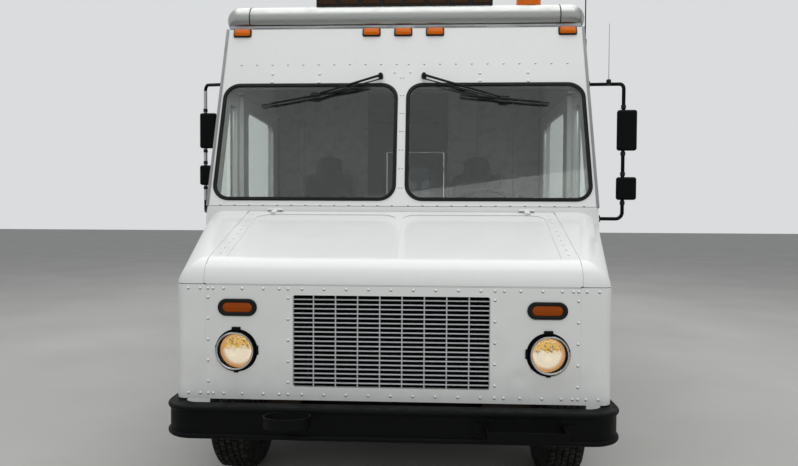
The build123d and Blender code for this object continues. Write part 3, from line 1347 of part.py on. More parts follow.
TUBE_R = 60
TUBE_END = DUAL_OUT_X - 380
STUB_R = 45
STUB_END = DUAL_OUT_X - 30
SHAFT_R = 42
PUMPKIN_R = 165
with BuildPart() as rear_axle:
    with Locations(Location((0, at(REAR_AXLE_S), AXLE_Z), (0, 90, 0))):
        Cylinder(TUBE_R, 2 * TUBE_END)
        Cylinder(STUB_R, 2 * STUB_END)
    with Locations((0, at(REAR_AXLE_S), AXLE_Z)):
        Sphere(PUMPKIN_R)
    shaft_from = (0, at(GEARBOX_END + 8), ENGINE_Z)
    shaft_to = (0, at(REAR_AXLE_S - 120), AXLE_Z)
    shaft_line = Line(shaft_from, shaft_to, mode=Mode.PRIVATE)
    with BuildSketch(Plane(origin=shaft_from, z_dir=shaft_line % 0)):
        Circle(SHAFT_R)
    extrude(amount=shaft_line.length)
save(rear_axle.part, "rear_axle")


LEAF_T = 12
LEAF_STEP = 120
LEAVES = 3
SPRING_HALF = 620
SPRING_SAG = 40


def spring(side, x, s, top, half_len, sag, leaves):
    """A pack of leaves that curves up to its eyes, each leaf shorter than the one above."""
    radius = (half_len**2 + sag**2) / (2 * sag)
    with BuildPart() as pack:
        for n in range(leaves):
            with BuildSketch(Plane.YZ.offset(x - SPRING_W / 2)):
                with Locations((at(s), top + radius)):
                    Circle(radius + (n + 1) * LEAF_T)
                    Circle(radius + n * LEAF_T, mode=Mode.SUBTRACT)
                with Locations((at(s), top)):
                    Rectangle(2 * (half_len - n * LEAF_STEP), 400, mode=Mode.INTERSECT)
            extrude(amount=SPRING_W)
        for end in (-1, 1):
            eye_z = top + sag - 10
            with Locations(Location((x, at(s + end * half_len), eye_z), (0, 90, 0))):
                Cylinder(25, SPRING_W)
            hanger_s = (s + end * half_len - 20, s + end * half_len + 20)
            if eye_z < RAIL_BOTTOM:
                block((x - SPRING_W / 2, x + SPRING_W / 2), hanger_s, (eye_z, RAIL_BOTTOM))
            else:
                hanger_x = sorted((side * RAIL_OUT, x + side * SPRING_W / 2))
                block(hanger_x, hanger_s, (eye_z, eye_z + 60))
    return pack.part


springs = []
for side in (-1, 1):
    for x, s, seat_z in ((SPRING_X, AXLE_S, beam_z + 35), (REAR_SPRING_X, REAR_AXLE_S, AXLE_Z + TUBE_R)):
        top = seat_z + LEAVES * LEAF_T
        springs.append(spring(side, side * x, s, top, SPRING_HALF, SPRING_SAG, LEAVES))

with BuildPart() as leaf_springs:
    add(springs)
save(leaf_springs.part, "leaf_springs")

with BuildPart() as fuel_tank:
    tank_s = (REAR_AXLE_S - 2110, REAR_AXLE_S - 1260)
    block((-RAIL_OUT - 380, -RAIL_OUT), tank_s, (RAIL_BOTTOM - 70, RAIL_TOP - 10))
    fillet(fuel_tank.edges().filter_by(Axis.Y), 50)
save(fuel_tank.part, "fuel_tank")

PIPE_R = 32
SILENCER_R = 105
SILENCER_X = RAIL_OUT + 168
SILENCER_Z = RAIL_BOTTOM + 60
SILENCER_S = (REAR_AXLE_S - 2610, REAR_AXLE_S - 1710)
tail_route = [
    (SILENCER_X, at(SILENCER_S[1] - 50), SILENCER_Z),
    (SILENCER_X, at(REAR_HOUSE_S[0] - 360), SILENCER_Z),
    (HALF - 65, at(REAR_HOUSE_S[0] - 180), SILENCER_Z - 175),
]
head_route = [
    (205, at(ENGINE_S[1] + 120), RAIL_TOP - 80),
    (205, at(GEARBOX_END + 160), RAIL_BOTTOM - 45),
    (SILENCER_X, at(SILENCER_S[0] - 200), RAIL_BOTTOM - 45),
    (SILENCER_X, at(SILENCER_S[0] + 50), SILENCER_Z),
]
tail_pipe = tube(tail_route, PIPE_R, 120)
head_pipe = tube(head_route, PIPE_R, 90)

with BuildPart() as exhaust:
    silencer_l = SILENCER_S[1] - SILENCER_S[0]
    with Locations(Location((SILENCER_X, at(sum(SILENCER_S) / 2), SILENCER_Z), (90, 0, 0))):
        Cylinder(SILENCER_R, silencer_l)
    add(tail_pipe)
    add(head_pipe)
    for s in (SILENCER_S[0] + 150, SILENCER_S[1] - 150):
        hanger_x = (RAIL_OUT, SILENCER_X - SILENCER_R + 25)
        block(hanger_x, (s, s + 40), (SILENCER_Z - 20, SILENCER_Z + 20))
save(exhaust.part, "exhaust")


# The tyre's outline from bead to tread, as shares of its half width and of its height over the rim
BEAD = 0.82
TYRE_PROFILE = ((BEAD, 0), (0.95, 0.17), (1, 0.42), (0.98, 0.66), (0.91, 0.86), (0.76, 1))


def tyre():
    """A tyre about its wheel's axis, with rounded shoulders and bulged walls."""
    with BuildPart() as ring:
        with BuildSketch(Plane.XY):
            half = TYRE_W / 2
            profile = [(half * wide, RIM_R + (TYRE_R - RIM_R) * up) for wide, up in TYRE_PROFILE]
            mirrored = [(-x, y) for x, y in reversed(profile)]
            Polygon(*profile, *mirrored, align=None)
        revolve(axis=Axis.X)
    return ring.part


def rim(out):
    """A disc wheel; out is +1 or -1 for the way its mounting face is set from the tyre's middle."""
    half = TYRE_W / 2 * BEAD
    face = out * DISC_SET
    root = out * DISC_ROOT
    back = out * DISC_T
    with BuildPart() as wheel:
        with BuildSketch(Plane.XY):
            Polygon(
                (-half, RIM_R - SEAT),
                (half, RIM_R - SEAT),
                (half, RIM_R - 8),
                (half - 30, RIM_R - RIM_T - 14),
                (-half + 30, RIM_R - RIM_T - 14),
                (-half, RIM_R - 8),
                align=None,
            )
        revolve(axis=Axis.X)
        with BuildSketch(Plane.XY):
            Polygon(
                (root, RIM_R - RIM_T - 10),
                (face, DISC_FLAT_R),
                (face, HUB_R - 4),
                (face - back, HUB_R - 4),
                (face - back, DISC_FLAT_R - 2),
                (root - back, RIM_R - RIM_T - 10),
                align=None,
            )
        revolve(axis=Axis.X)
        with BuildSketch(Plane.YZ.offset(-DISC_SET - 60)):
            with PolarLocations(HOLE_RING, HOLE_COUNT):
                Circle(HOLE_R)
        extrude(amount=2 * DISC_SET + 120, mode=Mode.SUBTRACT)
    return wheel.part


# Disc wheels: barrel, dished disc with hand holes, and the hubs they sit on
RIM_T = 8
DISC_SET = DUAL_GAP / 2
DISC_ROOT = 20
DISC_T = 12
DISC_FLAT_R = 165
HUB_R = 78
HOLE_RING = 198
HOLE_R = 22
HOLE_COUNT = 8
HUB_CAP = 45


def hub(x_from, x_to, bore, bore_to):
    """A hub about the X axis with a blind bore from its inner end."""
    side = 1 if x_to > x_from else -1
    with BuildPart() as body:
        with Locations(Location(((x_from + x_to) / 2, 0, 0), (0, 90, 0))):
            Cylinder(HUB_R, abs(x_to - x_from))
        ring = body.edges().filter_by(GeomType.CIRCLE).sort_by(Axis.X)
        fillet(ring[-1 if side > 0 else 0], 14)
        with Locations(Location(((x_from - side + bore_to) / 2, 0, 0), (0, 90, 0))):
            Cylinder(bore, abs(bore_to - x_from + side), mode=Mode.SUBTRACT)
    return body.part


for side, name in ((1, "left"), (-1, "right")):
    wheel_at = Pos(0, at(AXLE_S), AXLE_Z)
    middle = Pos(side * FRONT_X, 0, 0)
    save(wheel_at * middle * tyre(), f"front_tyre_{name}")
    cap_x = side * (FRONT_X + DISC_SET + HUB_CAP)
    front_hub = hub(side * (CHEEK_X + CHEEK_T + PLAY), cap_x, SPINDLE_R + RUN, side * (SPINDLE_END + 3))
    save(wheel_at * (middle * rim(side) + front_hub), f"front_rim_{name}")
    rear_at = Pos(0, at(REAR_AXLE_S), AXLE_Z)
    outer = Pos(side * DUAL_OUT_X, 0, 0)
    inner = Pos(side * (DUAL_OUT_X - DUAL_GAP), 0, 0)
    save(Compound([rear_at * outer * tyre(), rear_at * inner * tyre()]), f"rear_tyres_{name}")
    rear_hub = hub(side * (TUBE_END + PLAY), side * (STUB_END + 20), STUB_R + RUN, side * (STUB_END + 3))
    save(rear_at * (outer * rim(-side) + inner * rim(side) + rear_hub), f"rear_rims_{name}")
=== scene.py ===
# %% [markdown]
# # A riveted step van food truck
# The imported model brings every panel, lamp, wheel and hinge at its real size and place. This notebook
# adds what the body shop adds: rivets, gaskets, lamp glass, tread, paint, road film and wear. Each step
# first says what the real thing is, how it could be made in Blender, and why this way was chosen.

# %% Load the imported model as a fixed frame
from math import cos, pi, radians, sin, tan

import bmesh
import bpy
from mathutils import Matrix, Vector
from mathutils.bvhtree import BVHTree


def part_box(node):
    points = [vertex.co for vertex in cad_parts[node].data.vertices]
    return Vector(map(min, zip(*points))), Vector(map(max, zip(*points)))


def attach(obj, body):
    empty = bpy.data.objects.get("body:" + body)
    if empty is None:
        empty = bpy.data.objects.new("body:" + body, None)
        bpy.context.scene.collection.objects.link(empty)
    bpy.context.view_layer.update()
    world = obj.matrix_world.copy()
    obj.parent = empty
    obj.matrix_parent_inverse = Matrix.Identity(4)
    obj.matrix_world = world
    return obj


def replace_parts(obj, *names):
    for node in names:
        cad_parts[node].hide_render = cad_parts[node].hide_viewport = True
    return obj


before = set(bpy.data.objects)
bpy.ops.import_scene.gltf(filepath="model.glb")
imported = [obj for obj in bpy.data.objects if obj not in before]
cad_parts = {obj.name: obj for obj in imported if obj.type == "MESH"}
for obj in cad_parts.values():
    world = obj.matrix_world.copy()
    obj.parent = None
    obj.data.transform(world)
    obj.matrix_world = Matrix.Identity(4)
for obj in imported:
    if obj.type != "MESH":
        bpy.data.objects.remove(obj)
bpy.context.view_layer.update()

print("Packed nodes:", len(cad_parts))

# %% [markdown]
# ## The camera
# The reference is a hand-held wide shot from just ahead of the bumper. Its view was worked out from the
# lamps, the rivet rows and the window corners, so the camera takes that place, turn and focal length
# directly instead of being eyed in. The small roll is the hand-held camera's.

# %% Camera at the reference's viewpoint
IMAGE_WIDTH = 798
FOCAL_PIXELS = 600
SENSOR_MM = 36
CAMERA_AT = (0.1608, -5.890, 1.52)
YAW, PITCH, ROLL = 2.545, 1.474, 0.298

camera_data = bpy.data.cameras.new("camera")
camera_data.sensor_width = SENSOR_MM
camera_data.lens = FOCAL_PIXELS / IMAGE_WIDTH * SENSOR_MM
camera_data.clip_end = 500
camera = bpy.data.objects.new("camera", camera_data)
bpy.context.scene.collection.objects.link(camera)
camera.matrix_world = (
    Matrix.Translation(CAMERA_AT)
    @ Matrix.Rotation(radians(YAW), 4, "Z")
    @ Matrix.Rotation(radians(90 - PITCH), 4, "X")
    @ Matrix.Rotation(radians(ROLL), 4, "Z")
)
bpy.context.scene.camera = camera
print("Focal length in mm:", round(camera_data.lens, 2))

# %% [markdown]
# ## One helper for nodes, one for colours
# A material is a small graph. Writing each graph by hand needs the same three lines for every node:
# make it, set it, link it. One function does all three, so that the materials below read like recipes.
# Colours are written as the hex codes a painter would note, and turned to linear light once.

# %% Add a node, and turn a hex colour to linear
def add(tree, kind, sockets=None, **settings):
    """One node with its settings, its socket values and its incoming links."""
    node = tree.nodes.new(kind)
    for key, value in settings.items():
        setattr(node, key, value)
    for key, value in (sockets or {}).items():
        if isinstance(value, bpy.types.NodeSocket):
            tree.links.new(value, node.inputs[key])
        else:
            node.inputs[key].default_value = value
    return node


def linear(hex_code):
    """sRGB hex to linear red, green, blue and alpha."""
    channels = [int(hex_code[place : place + 2], 16) / 255 for place in (1, 3, 5)]
    light = [c / 12.92 if c <= 0.04045 else ((c + 0.055) / 1.055) ** 2.4 for c in channels]
    return (*light, 1.0)


print("Mid grey is", [round(value, 3) for value in linear("#808080")[:3]])

# %% [markdown]
# ## Start of every finish
# Each finish begins with a Principled shader and the object's own coordinates, which on this model are
# plain metres on the truck. A pattern whose real pitch is known in millimetres then needs only one
# division to find its scale.

# %% A new finish, a pattern scale in millimetres, and two small recipes
def new_finish(name, colour, roughness, metallic=0.0):
    """A material, its tree, its shader and its coordinates."""
    material = bpy.data.materials.new(name)
    material.use_nodes = True
    tree = material.node_tree
    shader = tree.nodes["Principled BSDF"]
    shader.inputs["Base Color"].default_value = linear(colour)
    shader.inputs["Roughness"].default_value = roughness
    shader.inputs["Metallic"].default_value = metallic
    place = add(tree, "ShaderNodeTexCoord").outputs["Object"]
    return material, tree, shader, place


def pitch(millimetres):
    """Texture scale at which one feature is that many millimetres wide."""
    return 1000 / millimetres


def blotches(tree, place, millimetres, low, high, detail=3.0):
    """Soft patches of a real size, from 0 outside low to 1 past high."""
    sockets = {"Vector": place, "Scale": pitch(millimetres), "Detail": detail}
    cloud = add(tree, "ShaderNodeTexNoise", sockets)
    sockets = {"Value": cloud.outputs["Fac"], "From Min": low, "From Max": high}
    return add(tree, "ShaderNodeMapRange", sockets).outputs["Result"]


def blend_colours(tree, share, first, second):
    """Two colours mixed by a share; each is a hex code or a socket."""
    sockets = {0: share}
    for place, colour in ((6, first), (7, second)):
        sockets[place] = linear(colour) if isinstance(colour, str) else colour
    return add(tree, "ShaderNodeMix", sockets, data_type="RGBA").outputs[2]


def relief(tree, shader, height, strength, depth_mm):
    """Bump of a real depth, stacked on any bump the shader already has."""
    sockets = {"Height": height, "Strength": strength, "Distance": depth_mm / 1000}
    if shader.inputs["Normal"].links:
        sockets["Normal"] = shader.inputs["Normal"].links[0].from_socket
    bump = add(tree, "ShaderNodeBump", sockets)
    tree.links.new(bump.outputs["Normal"], shader.inputs["Normal"])


def rough_between(tree, shader, share, low, high):
    """Roughness that follows a share from low to high."""
    sockets = {"Value": share, "To Min": low, "To Max": high}
    result = add(tree, "ShaderNodeMapRange", sockets).outputs["Result"]
    tree.links.new(result, shader.inputs["Roughness"])


# %% [markdown]
# ## White enamel on riveted sheet
# The body is thin aluminium sheet, riveted to posts and sprayed with white enamel. The sheet is pulled
# slightly out of flat between its rivet rows, which bends reflections over a hand's width or more, and
# the spray leaves a fine orange peel. Rain has washed it: faint vertical runs, and a road film that
# thickens towards the wheels. Three bumps and one height-driven tint give exactly these, and a clear
# coat keeps the wet gloss. The peel of about 3 mm is drawn at 9 mm so that it still shows. Faces that
# look down are painted dark grey as painted shade, and one shallow dent near the right headlamp bends the
# shine.

# %% White enamel
DENT_AT = (0.600, -3.098, 0.775)


def white_enamel(name, colour, gloss):
    """Sprayed enamel over riveted sheet, with runs, road film and painted shade on faces that look down."""
    material, tree, shader, place = new_finish(name, colour, gloss)
    split = add(tree, "ShaderNodeSeparateXYZ", {"Vector": place})
    sockets = {"Value": split.outputs["Z"], "From Min": 1.25, "From Max": 0.45}
    low_down = add(tree, "ShaderNodeMapRange", sockets).outputs["Result"]
    runs_place = add(tree, "ShaderNodeMapping", {"Vector": place, "Scale": (1, 1, 0.06)})
    runs = blotches(tree, runs_place.outputs["Vector"], 38, 0.52, 0.8, 4.0)
    film = blotches(tree, place, 160, 0.35, 0.75, 6.0)
    sockets = {0: low_down, 1: film}
    soil = add(tree, "ShaderNodeMath", sockets, operation="MULTIPLY").outputs["Value"]
    sockets = {0: soil, 1: runs, 2: 0.12}
    stain = add(tree, "ShaderNodeMath", sockets, operation="MULTIPLY_ADD", use_clamp=True)
    sockets = {0: runs, 1: 0.10, 2: soil}
    stain = add(tree, "ShaderNodeMath", sockets, operation="MULTIPLY_ADD", use_clamp=True)
    sockets = {"Value": stain.outputs["Value"], "To Max": 0.26}
    share = add(tree, "ShaderNodeMapRange", sockets).outputs["Result"]
    washed = blend_colours(tree, share, colour, "#8A8474")
    # Painted shade: the more a face looks down, the more it is mixed towards dark grey #5E5D5A.
    facing = add(tree, "ShaderNodeNewGeometry").outputs["Normal"]
    upward = add(tree, "ShaderNodeSeparateXYZ", {"Vector": facing}).outputs["Z"]
    sockets = {"Value": upward, "From Min": 0.0, "From Max": -0.7, "To Max": 0.85}
    faces_down_painted_shade = add(tree, "ShaderNodeMapRange", sockets).outputs["Result"]
    tree.links.new(blend_colours(tree, faces_down_painted_shade, washed, "#5E5D5A"), shader.inputs["Base Color"])
    rough_between(tree, shader, film, gloss, gloss + 0.14)
    wave = add(tree, "ShaderNodeTexNoise", {"Vector": place, "Scale": pitch(420), "Detail": 1.0})
    relief(tree, shader, wave.outputs["Fac"], 0.5, 6)
    peel = add(tree, "ShaderNodeTexNoise", {"Vector": place, "Scale": pitch(9), "Detail": 2.0})
    relief(tree, shader, peel.outputs["Fac"], 0.10, 0.4)
    sockets = {0: place, 1: DENT_AT}
    apart = add(tree, "ShaderNodeVectorMath", sockets, operation="DISTANCE").outputs["Value"]
    sockets = {"Value": apart, "From Min": 0.055, "From Max": 0.0}
    dent = add(tree, "ShaderNodeMapRange", sockets, interpolation_type="SMOOTHSTEP").outputs["Result"]
    relief(tree, shader, dent, 0.6, -6)
    shader.inputs["Coat Weight"].default_value = 0.35
    shader.inputs["Coat Roughness"].default_value = 0.06
    return material


enamel = white_enamel("white_enamel_on_sheet", "#E9EAE8", 0.30)
# The rivet heads wear a whiter, glossier copy of the enamel: a painted highlight on each head.
rivet_enamel_painted_highlight = white_enamel("white_enamel_with_painted_highlight", "#FFFFFF", 0.16)
print("Made", enamel.name, rivet_enamel_painted_highlight.name)

# %% [markdown]
# ## Satin black on steel
# Bumper, brackets, frame, mirror arms and tank are steel, brushed or dipped in satin black. Such paint
# is dull, slightly lumpy, and carries pale dust where water dries. A cloud of 60 mm sets the dust and a
# finer one the lumps.

# %% Satin black paint
def black_paint(name, colour, gloss, dust):
    """Satin black over steel, with dried dust."""
    material, tree, shader, place = new_finish(name, colour, gloss)
    shader.inputs["Specular IOR Level"].default_value = 0.10
    film = blotches(tree, place, 60, 0.45, 0.8, 6.0)
    sockets = {"Value": film, "To Max": dust}
    share = add(tree, "ShaderNodeMapRange", sockets).outputs["Result"]
    tree.links.new(blend_colours(tree, share, colour, "#55524A"), shader.inputs["Base Color"])
    rough_between(tree, shader, film, gloss, gloss + 0.22)
    lumps = add(tree, "ShaderNodeTexNoise", {"Vector": place, "Scale": pitch(5), "Detail": 3.0})
    relief(tree, shader, lumps.outputs["Fac"], 0.22, 0.5)
    return material


bumper_black = black_paint("satin_black_on_steel", "#060708", 0.50, 0.02)
chassis_black = black_paint("chassis_black", "#101010", 0.60, 0.22)
radiator_black = black_paint("black_radiator_core", "#050505", 0.80, 0.05)
print("Made", bumper_black.name, chassis_black.name, radiator_black.name)

# %% [markdown]
# ## Forged and cast iron below
# Axles, springs, knuckles and the engine are bare iron that has gone brown and been sprayed by the road.
# Rust is patchy, matt and grainy, so two cloud sizes mix three browns and drive the bump as well.

# %% Forged iron
def forged_iron():
    """Dark iron with rust patches and grit."""
    material, tree, shader, place = new_finish("forged_iron", "#2A2725", 0.72, 0.25)
    rust = blotches(tree, place, 45, 0.42, 0.72, 8.0)
    grit = blotches(tree, place, 6, 0.3, 0.8, 4.0)
    warm = blend_colours(tree, grit, "#4A3325", "#6B4A33")
    tree.links.new(blend_colours(tree, rust, "#252423", warm), shader.inputs["Base Color"])
    rough_between(tree, shader, rust, 0.55, 0.9)
    relief(tree, shader, grit, 0.5, 0.8)
    return material


iron = forged_iron()
print("Made", iron.name)

# %% [markdown]
# ## Sheet metals with a direction
# Kitchen tops are stainless sheet brushed along their length, the grille is anodised aluminium, the roof
# cap is aluminium in mill finish, and the lamp bezels are chromed. The corner extrusions have gone dull
# in the weather. Brushing is a scratch pattern stretched about eighty times along one axis, and it makes
# highlights spread across the grain.

# %% Brushed stainless, aluminium and chrome
def brushed_metal(name, colour, gloss, stretch, grain_mm):
    """Metal brushed along Y, or along X where stretch says so."""
    material, tree, shader, place = new_finish(name, colour, gloss, 1.0)
    grain_place = add(tree, "ShaderNodeMapping", {"Vector": place, "Scale": stretch}).outputs["Vector"]
    grain = blotches(tree, grain_place, grain_mm, 0.3, 0.7, 2.0)
    smear = blotches(tree, place, 90, 0.4, 0.75, 5.0)
    sockets = {0: grain, 1: 0.35, 2: smear}
    mixed = add(tree, "ShaderNodeMath", sockets, operation="MULTIPLY_ADD").outputs["Value"]
    rough_between(tree, shader, mixed, gloss, gloss + 0.16)
    relief(tree, shader, grain, 0.12, 0.1)
    return material


stainless = brushed_metal("brushed_stainless_sheet", "#B9BABA", 0.26, (1, 0.012, 1), 2.5)
chrome = brushed_metal("chromed_steel", "#CFCFCF", 0.06, (1, 1, 1), 40.0)
grille_aluminium = brushed_metal("anodised_grille_aluminium", "#C9CCCE", 0.42, (0.012, 1, 1), 3.0)
grille_aluminium.node_tree.nodes["Principled BSDF"].inputs["Metallic"].default_value = 0.45
dull_extrusion = brushed_metal("weathered_corner_extrusion", "#8F9192", 0.50, (1, 1, 0.012), 3.0)
cap_aluminium = brushed_metal("mill_finish_roof_cap", "#A9ABA8", 0.30, (0.012, 1, 1), 3.0)
print("Made", stainless.name, chrome.name, grille_aluminium.name, dull_extrusion.name, cap_aluminium.name)

# %% [markdown]
# ## Rubber, plastics and glass
# Window gaskets are extruded EPDM, the tyres are black road rubber that greys on its sidewalls, lamp
# lenses are moulded acrylic, and the panes are laminated float glass with a faint green cast. Their IOR
# values are the usual ones of those materials. Glass carries a thin film of drops, drawn as fine bump.

# %% Rubber and moulded black plastic
def rubber(name, colour, gloss, dust):
    """Matt rubber with dust in patches."""
    material, tree, shader, place = new_finish(name, colour, gloss)
    shader.inputs["Specular IOR Level"].default_value = 0.25
    film = blotches(tree, place, 30, 0.45, 0.85, 6.0)
    sockets = {"Value": film, "To Max": dust}
    share = add(tree, "ShaderNodeMapRange", sockets).outputs["Result"]
    tree.links.new(blend_colours(tree, share, colour, "#6A665C"), shader.inputs["Base Color"])
    grain = add(tree, "ShaderNodeTexNoise", {"Vector": place, "Scale": pitch(3), "Detail": 2.0})
    relief(tree, shader, grain.outputs["Fac"], 0.18, 0.25)
    return material


gasket_rubber = rubber("extruded_gasket_rubber", "#0B0C0D", 0.42, 0.05)
tyre_rubber = rubber("road_tyre_rubber", "#161616", 0.78, 0.45)
black_plastic = rubber("moulded_black_plastic", "#111213", 0.38, 0.04)
dash_vinyl = rubber("grained_dash_vinyl", "#0E0F10", 0.80, 0.02)
dash_vinyl.node_tree.nodes["Principled BSDF"].inputs["Specular IOR Level"].default_value = 0.15
# Grey rings set just below each rivet head: painted shadow under the heads, with some dust.
rivet_shadow_paint = rubber("painted_shadow_round_rivets", "#8D8C88", 0.75, 0.30)
sealant = rubber("aged_seam_sealant", "#2E2D2B", 0.60, 0.20)
print("Made", gasket_rubber.name, tyre_rubber.name, black_plastic.name, dash_vinyl.name)

# %% Glass and lenses
GLASS_IOR = 1.52
ACRYLIC_IOR = 1.49


def clear(name, colour, roughness, ior):
    """A see-through material of one tint."""
    material, tree, shader, place = new_finish(name, colour, roughness)
    shader.inputs["Transmission Weight"].default_value = 1.0
    shader.inputs["IOR"].default_value = ior
    return material, tree, shader, place


def pane_glass(name, tint):
    """Laminated pane with a trace of rain."""
    material, tree, shader, place = clear(name, tint, 0.01, GLASS_IOR)
    drops = add(tree, "ShaderNodeTexVoronoi", {"Vector": place, "Scale": pitch(26), "Randomness": 1.0})
    sockets = {"Value": drops.outputs["Distance"], "From Min": 0.20, "From Max": 0.05}
    bead = add(tree, "ShaderNodeMapRange", sockets).outputs["Result"]
    relief(tree, shader, bead, 0.12, 0.6)
    return material


def ribbed_lens(name, colour, glow, rib_mm, along):
    """Moulded lens with prism ribs and a little light of its own from the bowl behind."""
    material, tree, shader, place = clear(name, colour, 0.12, ACRYLIC_IOR)
    shader.inputs["Transmission Weight"].default_value = 0.25
    sockets = {"Vector": place, "Scale": pitch(rib_mm) / 6.283}
    ribs = add(tree, "ShaderNodeTexWave", sockets, bands_direction=along)
    relief(tree, shader, ribs.outputs["Fac"], 0.6, 1.2)
    shader.inputs["Emission Color"].default_value = linear(colour)
    shader.inputs["Emission Strength"].default_value = glow
    return material


pane = pane_glass("laminated_pane_glass", "#F3F8F5")
smoked_pane = pane_glass("smoked_rear_pane", "#23292A")
amber_lens = ribbed_lens("amber_acrylic_lens", "#C8600A", 0.22, 9, "Z")
deep_amber = ribbed_lens("deep_amber_signal_lens", "#8E3E02", 0.16, 9, "Z")
unlit_amber = ribbed_lens("unlit_amber_module", "#3A2512", 0.05, 12, "X")
for lens_finish in (amber_lens, deep_amber, unlit_amber):
    lens_shader = lens_finish.node_tree.nodes["Principled BSDF"]
    lens_shader.inputs["Specular IOR Level"].default_value = 0.12
    lens_shader.inputs["Transmission Weight"].default_value = 0.1
red_lens = ribbed_lens("red_acrylic_lens", "#8E1210", 0.05, 8, "Z")
print("Made", pane.name, amber_lens.name, deep_amber.name, unlit_amber.name, red_lens.name)

# %% [markdown]
# ## Cloth, painted floor and panelling
# The seats wear a dark woven cloth whose threads lie about 2 mm apart. Two crossed wave patterns make
# the weave, and sheen gives the pale edge that cloth shows at a glance. The floor is chequered sheet and
# the bulkhead is pale painted panel; both get their own scale of relief.

# %% Seat cloth, chequered floor, pale panelling
def woven_cloth():
    """Dark twill with sheen."""
    material, tree, shader, place = new_finish("woven_seat_cloth", "#2B2D2E", 0.88)
    scale = pitch(4) / 6.283
    warp = add(tree, "ShaderNodeTexWave", {"Vector": place, "Scale": scale}, bands_direction="X")
    weft = add(tree, "ShaderNodeTexWave", {"Vector": place, "Scale": scale}, bands_direction="Z")
    sockets = {0: warp.outputs["Fac"], 1: weft.outputs["Fac"]}
    weave = add(tree, "ShaderNodeMath", sockets, operation="MAXIMUM").outputs["Value"]
    worn = blotches(tree, place, 120, 0.4, 0.75)
    pale = blend_colours(tree, worn, "#26282A", "#3B3D3E")
    tree.links.new(blend_colours(tree, weave, "#1C1D1F", pale), shader.inputs["Base Color"])
    relief(tree, shader, weave, 0.5, 0.6)
    shader.inputs["Sheen Weight"].default_value = 0.4
    return material


def chequer_plate():
    """Grey painted sheet with raised diagonal lozenges every 30 mm."""
    material, tree, shader, place = new_finish("chequered_floor_sheet", "#6E7072", 0.5, 0.3)
    turned = add(tree, "ShaderNodeMapping", {"Vector": place, "Rotation": (0, 0, radians(45))})
    sockets = {"Vector": turned.outputs["Vector"], "Scale": pitch(30)}
    cells = add(tree, "ShaderNodeTexVoronoi", {**sockets, "Randomness": 0.0}, distance="CHEBYCHEV")
    sockets = {"Value": cells.outputs["Distance"], "From Min": 0.30, "From Max": 0.22}
    lug = add(tree, "ShaderNodeMapRange", sockets).outputs["Result"]
    soil = blotches(tree, place, 130, 0.35, 0.7, 6.0)
    tree.links.new(blend_colours(tree, soil, "#77797A", "#4B4A46"), shader.inputs["Base Color"])
    relief(tree, shader, lug, 0.6, 1.5)
    return material


def pale_panel():
    """Pale grey painted panelling with scuffs."""
    material, tree, shader, place = new_finish("painted_panelling", "#707473", 0.6)
    scuff = blotches(tree, place, 70, 0.45, 0.8, 6.0)
    tree.links.new(blend_colours(tree, scuff, "#747877", "#5C5F5E"), shader.inputs["Base Color"])
    grain = add(tree, "ShaderNodeTexNoise", {"Vector": place, "Scale": pitch(8), "Detail": 2.0})
    relief(tree, shader, grain.outputs["Fac"], 0.15, 0.4)
    return material


cloth = woven_cloth()
floor_sheet = chequer_plate()
panelling = pale_panel()
print("Made", cloth.name, floor_sheet.name, panelling.name)

# %% [markdown]
# ## Lit headlamps
# The headlamps burn in the reference: the lower half of each bowl is white, the upper half a warm amber
# with a mottled pattern. A real reflector is an aluminised bowl whose image fills the lens, so the bowl
# itself glows here, tinted by height, and the pressed glass in front breaks it up.

# %% Lamp bowl and pressed glass
LAMP_X, LAMP_Z = 0.732, 0.887


def lit_bowl():
    """Aluminised bowl that shows the filament's light, white below, amber above and at its rim."""
    material, tree, shader, place = new_finish("lit_lamp_bowl", "#6E685C", 0.25, 0.6)
    split = add(tree, "ShaderNodeSeparateXYZ", {"Vector": place})
    across = add(tree, "ShaderNodeMath", {0: split.outputs["X"]}, operation="ABSOLUTE").outputs["Value"]
    level = add(tree, "ShaderNodeCombineXYZ", {"X": across, "Z": split.outputs["Z"]}).outputs["Vector"]
    sockets = {0: level, 1: (LAMP_X, 0.0, LAMP_Z)}
    from_centre = add(tree, "ShaderNodeVectorMath", sockets, operation="DISTANCE").outputs["Value"]
    mottle = add(tree, "ShaderNodeTexVoronoi", {"Vector": place, "Scale": pitch(16)}).outputs["Distance"]
    sockets = {0: mottle, 1: 0.030, 2: split.outputs["Z"]}
    uneven = add(tree, "ShaderNodeMath", sockets, operation="MULTIPLY_ADD").outputs["Value"]
    sockets = {"Value": uneven, "From Min": LAMP_Z + 0.012, "From Max": LAMP_Z + 0.030}
    warm = add(tree, "ShaderNodeMapRange", sockets).outputs["Result"]
    fleck = blotches(tree, place, 13, 0.52, 0.60, 2.0)
    amber_half = blend_colours(tree, fleck, "#F0C24A", "#7C5730")
    halves = blend_colours(tree, warm, "#FFFBF4", amber_half)
    sockets = {"Value": from_centre, "From Min": 0.062, "From Max": 0.074}
    rim = add(tree, "ShaderNodeMapRange", sockets).outputs["Result"]
    glow = blend_colours(tree, rim, halves, "#C98A4A")
    tree.links.new(glow, shader.inputs["Emission Color"])
    shader.inputs["Emission Strength"].default_value = 0.78
    return material


def pressed_glass():
    """Lamp lens with upright flutes 7 mm apart."""
    material, tree, shader, place = clear("pressed_lamp_glass", "#FAF6EC", 0.03, GLASS_IOR)
    sockets = {"Vector": place, "Scale": pitch(7) / 6.283}
    flutes = add(tree, "ShaderNodeTexWave", sockets, bands_direction="X")
    relief(tree, shader, flutes.outputs["Fac"], 0.35, 0.8)
    return material


bowl_glow = lit_bowl()
lamp_glass = pressed_glass()
print("Made", bowl_glow.name, lamp_glass.name)

# %% [markdown]
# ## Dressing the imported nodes
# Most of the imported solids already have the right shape, so they only change coat. Each node's slots
# are filled from one table. The grey of the seats' CAD blocks never shows, because padded seats stand
# in for them further down.

